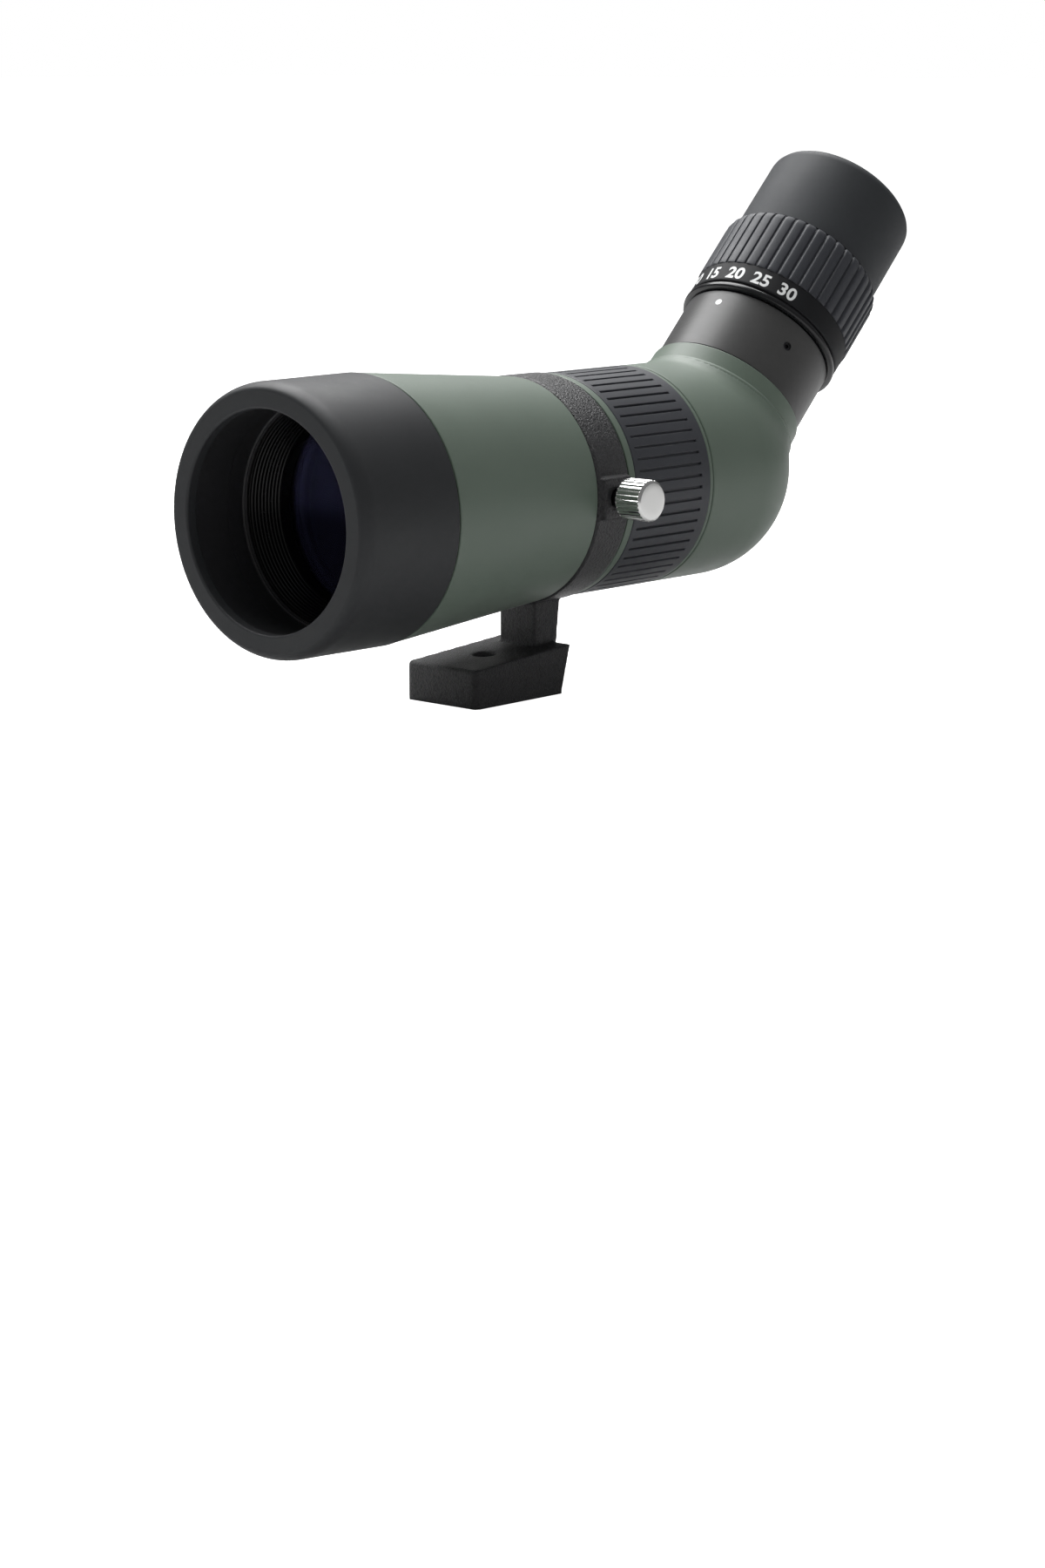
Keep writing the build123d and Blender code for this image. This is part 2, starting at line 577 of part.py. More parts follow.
with BuildPart() as prism_clip:
    with BuildSketch(PRISM):
        with BuildLine():
            low = clip_low + lift * 0.06 + slope * 1.0
            high = clip_high + lift * 0.06 - slope * 1.0
            Polyline((low.X, low.Z), (high.X, high.Z), (high.X + lift.X, high.Z + lift.Z),
                     (low.X + lift.X, low.Z + lift.Z), close=True)
        make_face()
    extrude(amount=half_width + cheek, both=True)
    for side in (-1, 1):
        spot = ELBOW + (clip_low + clip_high) * 0.5 + Vector(0, side * (half_width + seat + cheek / 2), 0)
        with Locations(Plane(origin=tuple(spot - lift * 4), x_dir=tuple(slope), z_dir=tuple(lift))):
            Cylinder(0.62, 8, align=OUT, mode=Mode.SUBTRACT)
prism_clip.part.label = "prism_clip"
export_step(prism_clip.part, "parts/prism_clip.step")

with BuildPart() as prism_screws:
    for side in (-1, 1):
        spot = ELBOW + (clip_low + clip_high) * 0.5 + Vector(0, side * (half_width + seat + cheek / 2), 0)
        with Locations(Plane(origin=tuple(spot - lift * 3.5), x_dir=tuple(slope), z_dir=tuple(lift))):
            Cylinder(0.6, 5.0, align=OUT)
        with Locations(Plane(origin=tuple(spot + lift * 1.12), x_dir=tuple(slope), z_dir=tuple(lift))):
            Cylinder(1.1, 0.7, align=OUT)
prism_screws.part.label = "prism_screws"
export_step(prism_screws.part, "parts/prism_screws.step")

# ================================================================ eyepiece, fixed parts
with BuildPart() as neck_adapter:
    outline(EYE_AXIAL, [(16.0, adapter_bore), (16.0, neck_bore - seat), (neck_top - 0.1, neck_bore - seat),
                        (neck_top - 0.1, neck_bore - 0.1), (43.6, neck_bore - 0.1), (43.6, adapter_bore)])
    revolve(axis=EYE)
neck_adapter.part.label = "neck_adapter"
export_step(neck_adapter.part, "parts/neck_adapter.step")

with BuildPart() as neck_seal:
    outline(EYE_AXIAL, [(neck_top + 0.02, neck_bore), (neck_top + 0.02, barrel_radius - 0.4),
                        (barrel_bottom - 0.02, barrel_radius - 0.4), (barrel_bottom - 0.02, neck_bore)])
    revolve(axis=EYE)
neck_seal.part.label = "neck_seal"
export_step(neck_seal.part, "parts/neck_seal.step")

field_low = field_pin_s + field_rate * zoom_low
field_high = field_pin_s + field_rate * zoom_high
inner_low = inner_pin_s + inner_rate * zoom_low
inner_high = inner_pin_s + inner_rate * zoom_high
grub_s = 39.0
grub_angles = (66.2, 186.2, 306.2)
dot_s = 42.4
dot_angle = 3.3
with BuildPart() as eyepiece_barrel:
    outline(EYE_AXIAL, [(barrel_bottom, neck_bore), (barrel_bottom, barrel_radius - 0.3),
                        (barrel_bottom + 0.3, barrel_radius), (barrel_top - 0.3, barrel_radius),
                        (barrel_top, barrel_radius - 0.3), (barrel_top, sleeve_radius),
                        (sleeve_top, sleeve_radius), (sleeve_top, sleeve_bore), (44.0, sleeve_bore),
                        (44.0, neck_bore)])
    revolve(axis=EYE)
    for angle in grub_angles:
        with Locations(eye_radial(grub_s, angle, neck_bore - 1)):
            Cylinder(1.27, 5, align=OUT, mode=Mode.SUBTRACT)
    with Locations(eye_radial(dot_s, dot_angle, barrel_radius - 0.35)):
        Cylinder(1.02, 2, align=OUT, mode=Mode.SUBTRACT)
    # straight slots for the two zoom groups' pins, on opposite sides
    for low, high, angle in ((field_low, field_high, 90), (inner_low, inner_high, -90)):
        for end in (low, high):
            with Locations(eye_radial(end, angle, sleeve_bore - 1)):
                Cylinder(track_radius, 3.5, align=OUT, mode=Mode.SUBTRACT)
        with Locations(eye_radial((low + high) / 2, angle, sleeve_bore - 1)):
            Box(high - low, 2 * track_radius, 3.5, align=OUT, mode=Mode.SUBTRACT)
eyepiece_barrel.part.label = "eyepiece_barrel"
export_step(eyepiece_barrel.part, "parts/eyepiece_barrel.step")

with BuildPart() as grub_screws:
    for angle in grub_angles:
        with Locations(eye_radial(grub_s, angle, neck_bore - 0.05)):
            Cylinder(1.25, 2.1, align=OUT)
        with Locations(eye_radial(grub_s, angle, neck_bore + 1.2)):
            Cylinder(0.6, 2.1, align=OUT, mode=Mode.SUBTRACT)
grub_screws.part.label = "grub_screws"
export_step(grub_screws.part, "parts/grub_screws.step")

with BuildPart() as index_dot:
    with Locations(eye_radial(dot_s, dot_angle, barrel_radius - 0.34)):
        Cylinder(1.0, 0.34, align=OUT)
index_dot.part.label = "index_dot"
export_step(index_dot.part, "parts/index_dot.step")

with BuildPart() as field_stop:
    outline(EYE_AXIAL, [(29.0, 12.0), (30.0, 14.0), (30.0, 15.0), (31.0, adapter_bore - seat),
                        (28.6, adapter_bore - seat), (28.6, 12.0)])
    revolve(axis=EYE)
field_stop.part.label = "field_stop"
export_step(field_stop.part, "parts/field_stop.step")

with BuildPart() as eye_tube:
    outline(EYE_AXIAL, [(core_shoulder + 0.3, sleeve_radius + seat), (core_shoulder + 0.3, cup_pocket - 0.25),
                        (tube_flange, cup_pocket - 0.25), (tube_flange, eye_tube_radius),
                        (eye_tube_top - 0.4, eye_tube_radius), (eye_tube_top, eye_tube_radius - 0.4),
                        (eye_tube_top, eye_bore), (73.0, eye_bore), (73.0, eye_bore - 1.1), (70.0, eye_bore - 1.1),
                        (70.0, sleeve_bore + 0.05), (sleeve_top + 0.1, sleeve_bore + 0.05),
                        (sleeve_top + 0.1, sleeve_radius + seat)])
    revolve(axis=EYE)
    for angle in (90, -90):
        with Locations(eye_radial(cup_pin_s, angle, eye_tube_radius - 1.5)):
            Cylinder(pin_radius, 3, align=OUT, mode=Mode.SUBTRACT)
    # keyway that stops the glide ring turning
    with Locations(eye_radial(tube_flange + 0.1, 180, eye_tube_radius - 0.8)):
        Box(10.0, 2.1, 3, align=(Align.MIN, Align.CENTER, Align.MIN), mode=Mode.SUBTRACT)
eye_tube.part.label = "eye_tube"
export_step(eye_tube.part, "parts/eye_tube.step")

with BuildPart() as cup_pins:
    for angle in (90, -90):
        with Locations(eye_radial(cup_pin_s, angle, eye_tube_radius - 1.48)):
            Cylinder(pin_radius - 0.02, 2.3, align=OUT)
cup_pins.part.label = "cup_pins"
export_step(cup_pins.part, "parts/cup_pins.step")

with BuildPart() as rear_doublet:
    lens_outline(EYE_AXIAL, eye_bore - 0.05, 74.6, 73.05, 79.6, 81.2)
    revolve(axis=EYE)
rear_doublet.part.label = "rear_doublet"
export_step(rear_doublet.part, "parts/rear_doublet.step")

with BuildPart() as eye_spacer:
    outline(EYE_AXIAL, [(79.65, eye_bore - 0.05), (83.4, eye_bore - 0.05), (83.2, eye_bore - 1.2), (79.9, eye_bore - 1.2)])
    revolve(axis=EYE)
eye_spacer.part.label = "eye_spacer"
export_step(eye_spacer.part, "parts/eye_spacer.step")

with BuildPart() as eye_lens:
    lens_outline(EYE_AXIAL, eye_bore - 0.05, 82.0, 83.45, 86.9, 88.6)
    revolve(axis=EYE)
eye_lens.part.label = "eye_lens"
export_step(eye_lens.part, "parts/eye_lens.step")

with BuildPart() as eye_lens_ring:
    outline(EYE_AXIAL, [(86.95, eye_bore - 0.05), (90.6, eye_bore - 0.05), (90.6, eye_bore - 1.3), (87.3, eye_bore - 1.3)])
    revolve(axis=EYE)
eye_lens_ring.part.label = "eye_lens_ring"
export_step(eye_lens_ring.part, "parts/eye_lens_ring.step")

# ================================================================ zoom ring
with BuildPart() as zoom_core:
    outline(EYE_AXIAL, [(barrel_top + 0.2, sleeve_radius + running), (barrel_top + 0.2, flange_radius - 0.9),
                        (barrel_top + 1.1, flange_radius), (band_bottom - 0.2, flange_radius),
                        (band_bottom, band_radius), (band_top, band_radius), (band_top, zoom_seat_radius),
                        (grip_top - 0.4, zoom_seat_radius), (grip_top - 0.4, cup_pocket),
                        (core_shoulder, cup_pocket), (core_shoulder, sleeve_radius + running)])
    revolve(axis=EYE)
    # one helical groove for each zoom group's pin
    for start, rate, angle in ((field_pin_s, field_rate, 90), (inner_pin_s, inner_rate, -90)):
        helical_track(eye_radial, start, rate, angle, zoom_low, zoom_high,
                      sleeve_radius, 1, track_radius + 0.1, 1.4, piece=9.0)
zoom_core.part.label = "zoom_core"
export_step(zoom_core.part, "parts/zoom_core.step")

zoom_ribs = 44
with BuildPart() as zoom_grip:
    outline(EYE_AXIAL, [(band_top + seat, zoom_seat_radius + seat), (band_top + seat, zoom_grip_radius - 0.2),
                        (band_top + 0.3, zoom_grip_radius), (grip_top - 1.2, zoom_grip_radius),
                        (grip_top, zoom_grip_radius - 0.9), (grip_top, cup_pocket),
                        (grip_top - 0.36, cup_pocket), (grip_top - 0.36, zoom_seat_radius + seat)])
    revolve(axis=EYE)
    with BuildSketch(eye_across(band_top + 1.0)):
        with PolarLocations(zoom_grip_radius + 0.15, zoom_ribs):
            Rectangle(1.5, 0.7)
    extrude(amount=grip_top - band_top - 1.0, mode=Mode.SUBTRACT)
zoom_grip.part.label = "zoom_grip"
export_step(zoom_grip.part, "parts/zoom_grip.step")

# ================================================================ zoom lens groups
with BuildPart() as field_cell:
    outline(EYE_AXIAL, [(field_pin_s - 10.5, sleeve_bore - 2.9), (field_pin_s - 10.5, sleeve_bore - running),
                        (field_pin_s + 1.2, sleeve_bore - running), (field_pin_s + 1.2, sleeve_bore - 3.8),
                        (field_pin_s - 1.5, sleeve_bore - 3.8), (field_pin_s - 1.5, sleeve_bore - 2.9)])
    revolve(axis=EYE)
    with Locations(eye_radial(field_pin_s, 90, sleeve_bore - 2.2)):
        Cylinder(pin_radius, 3, align=OUT, mode=Mode.SUBTRACT)
field_cell.part.label = "field_cell"
export_step(field_cell.part, "parts/field_cell.step")

with BuildPart() as field_lens:
    lens_outline(EYE_AXIAL, sleeve_bore - 2.95, field_pin_s - 7.4, field_pin_s - 8.6, field_pin_s - 1.55, field_pin_s - 3.6)
    revolve(axis=EYE)
field_lens.part.label = "field_lens"
export_step(field_lens.part, "parts/field_lens.step")

with BuildPart() as field_pin:
    with Locations(eye_radial(field_pin_s, 90, sleeve_bore - 2.18)):
        Cylinder(pin_radius - 0.02, 5.3, align=OUT)
field_pin.part.label = "field_pin"
export_step(field_pin.part, "parts/field_pin.step")

with BuildPart() as inner_cell:
    outline(EYE_AXIAL, [(inner_pin_s - 1.2, sleeve_bore - 3.8), (inner_pin_s - 1.2, sleeve_bore - running),
                        (inner_pin_s + 4.8, sleeve_bore - running), (inner_pin_s + 4.8, sleeve_bore - 2.9),
                        (inner_pin_s + 0.7, sleeve_bore - 2.9), (inner_pin_s + 0.7, sleeve_bore - 3.8)])
    revolve(axis=EYE)
    with Locations(eye_radial(inner_pin_s, -90, sleeve_bore - 2.2)):
        Cylinder(pin_radius, 3, align=OUT, mode=Mode.SUBTRACT)
inner_cell.part.label = "inner_cell"
export_step(inner_cell.part, "parts/inner_cell.step")

with BuildPart() as inner_lens:
    lens_outline(EYE_AXIAL, sleeve_bore - 2.95, inner_pin_s - 0.5, inner_pin_s + 0.95, inner_pin_s + 3.4, inner_pin_s + 4.7)
    revolve(axis=EYE)
inner_lens.part.label = "inner_lens"
export_step(inner_lens.part, "parts/inner_lens.step")

with BuildPart() as inner_pin:
    with Locations(eye_radial(inner_pin_s, -90, sleeve_bore - 2.18)):
        Cylinder(pin_radius - 0.02, 5.3, align=OUT)
inner_pin.part.label = "inner_pin"
export_step(inner_pin.part, "parts/inner_pin.step")

# ================================================================ twist-up eyecup
with BuildPart() as glide_ring:
    outline(EYE_AXIAL, [(cup_bottom - 1.5, eye_tube_radius + running), (cup_bottom - 1.5, cup_radius - 0.3),
                        (cup_bottom - 0.1, cup_radius - 0.3), (cup_bottom - 0.1, eye_tube_radius + running)])
    revolve(axis=EYE)
    with Locations(eye_radial(cup_bottom - 1.5, 180, eye_tube_radius - 0.7)):
        Box(1.4, 1.95, 1.2, align=(Align.MIN, Align.CENTER, Align.MIN))
glide_ring.part.label = "glide_ring"
export_step(glide_ring.part, "parts/glide_ring.step")

cup_rate = cup_travel / cup_twist
sleeve_end = cup_top - 3.9
with BuildPart() as cup_sleeve:
    outline(EYE_AXIAL, [(cup_bottom, eye_tube_radius + running), (cup_bottom, cup_radius - 1.4),
                        (sleeve_end, cup_radius - 1.4), (sleeve_end, eye_tube_radius + running)])
    revolve(axis=EYE)
    # two helical grooves, which lift the cup as it turns on the fixed pins
    for angle in (90, -90):
        helical_track(eye_radial, cup_pin_s, cup_rate, angle, 0, cup_twist,
                      eye_tube_radius, -1, track_radius + 0.1, 1.1)
cup_sleeve.part.label = "cup_sleeve"
export_step(cup_sleeve.part, "parts/cup_sleeve.step")

with BuildPart() as cup_rubber:
    with BuildSketch(EYE_AXIAL):
        with BuildLine():
            Line((cup_bottom + 0.1, cup_radius - 1.35), (cup_bottom + 0.1, cup_radius))
            Line((cup_bottom + 0.1, cup_radius), (cup_top - 3.6, cup_radius - 0.05))
            RadiusArc((cup_top - 3.6, cup_radius - 0.05), (cup_top, cup_radius - 3.65), 3.6)
            Line((cup_top, cup_radius - 3.65), (cup_top - 0.2, cup_radius - 4.8))
            Line((cup_top - 0.2, cup_radius - 4.8), (cup_top - 1.6, cup_radius - 5.8))
            Line((cup_top - 1.6, cup_radius - 5.8), (sleeve_end + 0.05, cup_radius - 5.8))
            Line((sleeve_end + 0.05, cup_radius - 5.8), (sleeve_end + 0.05, cup_radius - 1.35))
            Line((sleeve_end + 0.05, cup_radius - 1.35), (cup_bottom + 0.1, cup_radius - 1.35))
        make_face()
    revolve(axis=EYE)
cup_rubber.part.label = "cup_rubber"
export_step(cup_rubber.part, "parts/cup_rubber.step")
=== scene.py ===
"""Looks of an angled zoom spotting scope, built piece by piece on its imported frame.

All lengths are metres in the frame's own axes: +X runs along the optical axis to the rear, +Z is
up, and the foot's tripod thread is at the origin.
"""
import json
import math

import bmesh
import bpy
from mathutils import Matrix, Vector


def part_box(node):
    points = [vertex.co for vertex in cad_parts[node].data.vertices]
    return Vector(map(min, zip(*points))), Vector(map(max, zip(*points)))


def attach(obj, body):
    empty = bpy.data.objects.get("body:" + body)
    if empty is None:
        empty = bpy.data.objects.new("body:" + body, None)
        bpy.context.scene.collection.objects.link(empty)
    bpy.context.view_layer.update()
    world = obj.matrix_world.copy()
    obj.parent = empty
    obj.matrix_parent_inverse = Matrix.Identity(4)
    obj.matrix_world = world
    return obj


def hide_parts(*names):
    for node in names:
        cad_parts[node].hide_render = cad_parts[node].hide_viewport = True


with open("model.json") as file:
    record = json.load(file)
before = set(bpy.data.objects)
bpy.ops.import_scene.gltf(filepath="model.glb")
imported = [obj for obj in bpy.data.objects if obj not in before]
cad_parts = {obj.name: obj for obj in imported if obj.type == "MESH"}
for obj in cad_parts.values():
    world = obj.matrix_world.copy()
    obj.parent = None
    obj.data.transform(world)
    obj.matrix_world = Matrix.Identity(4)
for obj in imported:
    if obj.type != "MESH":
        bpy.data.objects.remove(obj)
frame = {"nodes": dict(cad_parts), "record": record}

bl_info = {
    "name": "Angled spotting scope",
    "version": (1, 0, 0),
    "blender": (4, 5, 0),
    "location": "View3D > Sidebar > Scope",
    "description": "Builds the visible pieces and finishes of an angled zoom spotting scope",
    "category": "Object",
}

MM = 0.001
FULL_TURN = 2 * math.pi


# ---------------------------------------------------------------- the two axes of the instrument
def middle(node):
    low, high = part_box(node)
    return (Vector(low) + Vector(high)) / 2


def span_x(node):
    low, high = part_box(node)
    return low[0], high[0]


AXIS_HEIGHT = middle("hood_rubber").z
EYE_ANGLE = math.radians(45)
EYE_WAY = Vector((math.cos(EYE_ANGLE), 0, math.sin(EYE_ANGLE)))
EYE_UP = Vector((-math.sin(EYE_ANGLE), 0, math.cos(EYE_ANGLE)))
_barrel = middle("eyepiece_barrel")
ELBOW = Vector((_barrel.x - (_barrel.z - AXIS_HEIGHT) / math.tan(EYE_ANGLE), 0, AXIS_HEIGHT))
KNOB_AT = Vector((middle("knob_head").x, 0, AXIS_HEIGHT))

HOOD_FRONT, HOOD_REAR = span_x("hood_rubber")
HOOD_RADIUS = (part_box("hood_rubber")[1][1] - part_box("hood_rubber")[0][1]) / 2
TUBE_FRONT, TUBE_REAR = span_x("objective_tube")
TUBE_RADIUS = (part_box("objective_tube")[1][1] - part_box("objective_tube")[0][1]) / 2
LINING_FRONT, LINING_REAR = span_x("hood_barrel")
CONE_FRONT, CONE_REAR = span_x("objective_retainer")
FOCUS_FRONT, FOCUS_REAR = span_x("focus_core")
GRIP_FRONT, GRIP_REAR = span_x("focus_grip")
HOUSING_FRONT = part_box("prism_housing")[0][0]
HOUSING_RADIUS = (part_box("prism_housing")[1][1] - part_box("prism_housing")[0][1]) / 2
RUNNING_GAP = 0.3 * MM
COLLAR_WIDTH = 13.1 * MM
COLLAR_REAR = FOCUS_FRONT - RUNNING_GAP
COLLAR_FRONT = COLLAR_REAR - COLLAR_WIDTH
BARREL_RADIUS = (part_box("eyepiece_barrel")[1][1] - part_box("eyepiece_barrel")[0][1]) / 2
CUP_RADIUS = (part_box("cup_rubber")[1][1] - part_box("cup_rubber")[0][1]) / 2
GRIP_RADIUS = (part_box("zoom_grip")[1][1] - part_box("zoom_grip")[0][1]) / 2

# stations along the eyepiece's axis, in mm from the elbow
CUP_FOOT = 73.9
CUP_TOP = 102.8
CUP_LEDGE = CUP_TOP - 3.85
EYE_GLASS_INNER = (82.0, 83.45)
EYE_GLASS_OUTER = (88.6, 86.9)


class Along:
    """An axis that pieces are turned about: station along it, radius from it, angle round it."""

    def __init__(self, origin, way, up):
        self.origin = Vector(origin)
        self.way = Vector(way)
        self.up = Vector(up)
        self.side = self.way.cross(self.up)

    def point(self, station, radius, angle=0.0):
        out = self.up * math.cos(angle) + self.side * math.sin(angle)
        return self.origin + self.way * station + out * radius

    def polar(self, co):
        rel = co - self.origin
        station = rel.dot(self.way)
        flat = rel - self.way * station
        return station, flat.length, math.atan2(flat.dot(self.side), flat.dot(self.up))


OPTICAL = Along((0, 0, AXIS_HEIGHT), (1, 0, 0), (0, 0, 1))
EYE = Along(ELBOW, EYE_WAY, EYE_UP)
KNOB = Along(KNOB_AT, (0, -1, 0), (0, 0, 1))


# ---------------------------------------------------------------- shared modelling steps
def turn_outline(bm, corners, axis, steps):
    """Round the corners of an outline of (station, radius, rounding) in mm and spin it full circle."""
    verts = [bm.verts.new(axis.point(x * MM, max(r, 0.0) * MM)) for x, r, _ in corners]
    bm.faces.new(verts)
    for vert, (_, _, rounding) in zip(verts, corners):
        if rounding:
            bmesh.ops.bevel(
                bm, geom=[vert], offset=rounding * MM, offset_type="OFFSET", affect="VERTICES",
                            segments=5, profile=0.5, material=-1)
    outline = bm.faces[:]
    bmesh.ops.spin(bm, geom=bm.verts[:] + bm.edges[:], cent=axis.origin, axis=axis.way, angle=FULL_TURN,
                   steps=steps, use_merge=True)
    bmesh.ops.delete(bm, geom=outline, context="FACES_ONLY")
    bmesh.ops.remove_doubles(bm, verts=bm.verts[:], dist=2e-6)
    bmesh.ops.dissolve_degenerate(bm, dist=1e-7, edges=bm.edges[:])
    bmesh.ops.recalc_face_normals(bm, faces=bm.faces[:])


def arc_points(x_centre, r_centre, radius, start, end, count):
    """Stations and radii along a circular arc in an outline, in mm, angles in degrees."""
    points = []
    for k in range(count + 1):
        a = math.radians(start + (end - start) * k / count)
        points.append((x_centre + radius * math.cos(a), r_centre + radius * math.sin(a), 0))
    return points


def dome_points(vertex, edge, radius, count, outward=True):
    """Points of a lens face from the axis (vertex) to its rim (edge), in mm."""
    sag = edge - vertex
    big = (radius * radius + sag * sag) / (2 * abs(sag))
    way = 1 if sag > 0 else -1
    points = []
    for k in range(count + 1):
        r = radius * k / count
        points.append((vertex + way * (big - math.sqrt(big * big - r * r)), r, 0))
    return points if outward else points[::-1]


def make_piece(bm, name, body, finish, nodes=(), sharp=38):
    """Turn a bmesh into a finished piece that rides on a body and stands for CAD nodes."""
    mesh = bpy.data.meshes.new(name)
    bm.to_mesh(mesh)
    bm.free()
    mesh.shade_smooth()
    mesh.set_sharp_from_angle(angle=math.radians(sharp))
    piece = bpy.data.objects.new(name, mesh)
    bpy.context.scene.collection.objects.link(piece)
    mesh.materials.append(material(finish))
    weighted = piece.modifiers.new("Even shading", "WEIGHTED_NORMAL")
    weighted.keep_sharp = True
    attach(piece, body)
    if nodes:
        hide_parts(*nodes)
    return piece


def turned_piece(name, corners, axis, body, finish, nodes=(), steps=192, sharp=38):
    bm = bmesh.new()
    turn_outline(bm, corners, axis, steps)
    return make_piece(bm, name, body, finish, nodes, sharp)


def ring_wave(bm, axis, count, heights, inner, low=-1e9, high=1e9):
    """Give the outer wall of a turned ring a repeated radial profile, heights in mm over one pitch."""
    pitch = FULL_TURN / count
    for vert in bm.verts:
        station, radius, angle = axis.polar(vert.co)
        if radius < inner * MM or not low * MM <= station <= high * MM:
            continue
        place = ((angle / pitch) % 1.0) * len(heights)
        k = int(round(place)) % len(heights)
        vert.co = axis.point(station, radius + heights[k] * MM, angle)


# ---------------------------------------------------------------- shared surface effects
def new_group(name, inputs, outputs):
    group = bpy.data.node_groups.new(name, "ShaderNodeTree")
    for label, kind, value in inputs:
        socket = group.interface.new_socket(label, in_out="INPUT", socket_type=kind)
        if value is not None:
            socket.default_value = value
    for label, kind in outputs:
        group.interface.new_socket(label, in_out="OUTPUT", socket_type=kind)
    return group, group.nodes.new("NodeGroupInput"), group.nodes.new("NodeGroupOutput")


def math_node(tree, operation, a, b):
    node = tree.nodes.new("ShaderNodeMath")
    node.operation = operation
    for socket, value in zip(node.inputs, (a, b)):
        if isinstance(value, (int, float)):
            socket.default_value = value
        else:
            tree.links.new(value, socket)
    return node.outputs[0]


def noise_node(tree, vector, scale, detail=2.0, roughness=0.5):
    node = tree.nodes.new("ShaderNodeTexNoise")
    tree.links.new(vector, node.inputs["Vector"])
    if isinstance(scale, (int, float)):
        node.inputs["Scale"].default_value = scale
    else:
        tree.links.new(scale, node.inputs["Scale"])
    node.inputs["Detail"].default_value = detail
    node.inputs["Roughness"].default_value = roughness
    return node.outputs["Fac"]


def skin_grain():
    """Fine moulded skin: a pebbled height from two sizes of noise."""
    if "Skin grain" in bpy.data.node_groups:
        return bpy.data.node_groups["Skin grain"]
    group, source, sink = new_group(
        "Skin grain",
        [
            ("Vector", "NodeSocketVector", None), ("Scale", "NodeSocketFloat", 2500.0),
            ("Fine share", "NodeSocketFloat", 0.35)],
        [("Height", "NodeSocketFloat")])
    vector, scale = source.outputs["Vector"], source.outputs["Scale"]
    broad = noise_node(group, vector, scale, 3.0, 0.55)
    fine = noise_node(group, vector, math_node(group, "MULTIPLY", scale, 3.7), 2.0, 0.6)
    mixed = math_node(
        group, "ADD", broad, math_node(group, "MULTIPLY", fine, source.outputs["Fine share"]))
    group.links.new(mixed, sink.inputs["Height"])
    return group


def orange_peel():
    """Powder coat: rounded lumps with small hollows between them, and a mask of those hollows used to
    paint shade into them.
    """
    if "Orange peel" in bpy.data.node_groups:
        return bpy.data.node_groups["Orange peel"]
    group, source, sink = new_group(
        "Orange peel",
        [("Vector", "NodeSocketVector", None), ("Scale", "NodeSocketFloat", 1100.0)],
        [("Height", "NodeSocketFloat"), ("Pit shade", "NodeSocketFloat")])
    cells = group.nodes.new("ShaderNodeTexVoronoi")
    cells.feature = "SMOOTH_F1"
    group.links.new(source.outputs["Vector"], cells.inputs["Vector"])
    group.links.new(source.outputs["Scale"], cells.inputs["Scale"])
    noise = noise_node(
        group, source.outputs["Vector"], math_node(group, "MULTIPLY", source.outputs["Scale"], 1.9), 3.0,
        0.6)
    height = math_node(
        group, "SUBTRACT", math_node(group, "MULTIPLY", noise, 1.3), cells.outputs["Distance"])
    group.links.new(height, sink.inputs["Height"])
    pit_shade = group.nodes.new("ShaderNodeMapRange")
    pit_shade.inputs["From Min"].default_value = 0.35
    pit_shade.inputs["From Max"].default_value = 0.75
    group.links.new(cells.outputs["Distance"], pit_shade.inputs["Value"])
    group.links.new(pit_shade.outputs["Result"], sink.inputs["Pit shade"])
    return group


def handling_marks():
    """Broad cloudy unevenness with sparse rubbed spots, as a mask from 0 to 1."""
    if "Handling marks" in bpy.data.node_groups:
        return bpy.data.node_groups["Handling marks"]
    group, source, sink = new_group(
        "Handling marks",
        [
            ("Vector", "NodeSocketVector", None), ("Cloud scale", "NodeSocketFloat", 45.0),
            ("Spot scale", "NodeSocketFloat", 700.0)],
        [("Clouds", "NodeSocketFloat"), ("Spots", "NodeSocketFloat")])
    clouds = noise_node(group, source.outputs["Vector"], source.outputs["Cloud scale"], 4.0, 0.6)
    group.links.new(clouds, sink.inputs["Clouds"])
    spots = noise_node(group, source.outputs["Vector"], source.outputs["Spot scale"], 2.0, 0.5)
    ramp = group.nodes.new("ShaderNodeMapRange")
    ramp.inputs["From Min"].default_value = 0.66
    ramp.inputs["From Max"].default_value = 0.78
    group.links.new(spots, ramp.inputs["Value"])
    group.links.new(ramp.outputs["Result"], sink.inputs["Spots"])
    return group


def lathe_lines():
    """Fine turning marks round the eyepiece axis, which is tilted in the frame."""
    if "Lathe lines" in bpy.data.node_groups:
        return bpy.data.node_groups["Lathe lines"]
    group, source, sink = new_group(
        "Lathe lines",
        [("Vector", "NodeSocketVector", None), ("Scale", "NodeSocketFloat", 5000.0)],
        [("Height", "NodeSocketFloat")])
    turn = group.nodes.new("ShaderNodeMapping")
    turn.inputs["Rotation"].default_value = (0.0, EYE_ANGLE, 0.0)
    turn.inputs["Scale"].default_value = (1.0, 0.015, 0.015)
    group.links.new(source.outputs["Vector"], turn.inputs["Vector"])
    lines = noise_node(group, turn.outputs["Vector"], source.outputs["Scale"], 3.0, 0.7)
    group.links.new(lines, sink.inputs["Height"])
    return group


def start_material(name):
    made = bpy.data.materials.new(name)
    made.use_nodes = True
    tree = made.node_tree
    shader = tree.nodes["Principled BSDF"]
    coordinates = tree.nodes.new("ShaderNodeTexCoord").outputs["Object"]
    return made, tree, shader, coordinates


def place_group(tree, group, vector, **values):
    node = tree.nodes.new("ShaderNodeGroup")
    node.node_tree = group
    tree.links.new(vector, node.inputs["Vector"])
    for label, value in values.items():
        node.inputs[label.replace("_", " ")].default_value = value
    return node


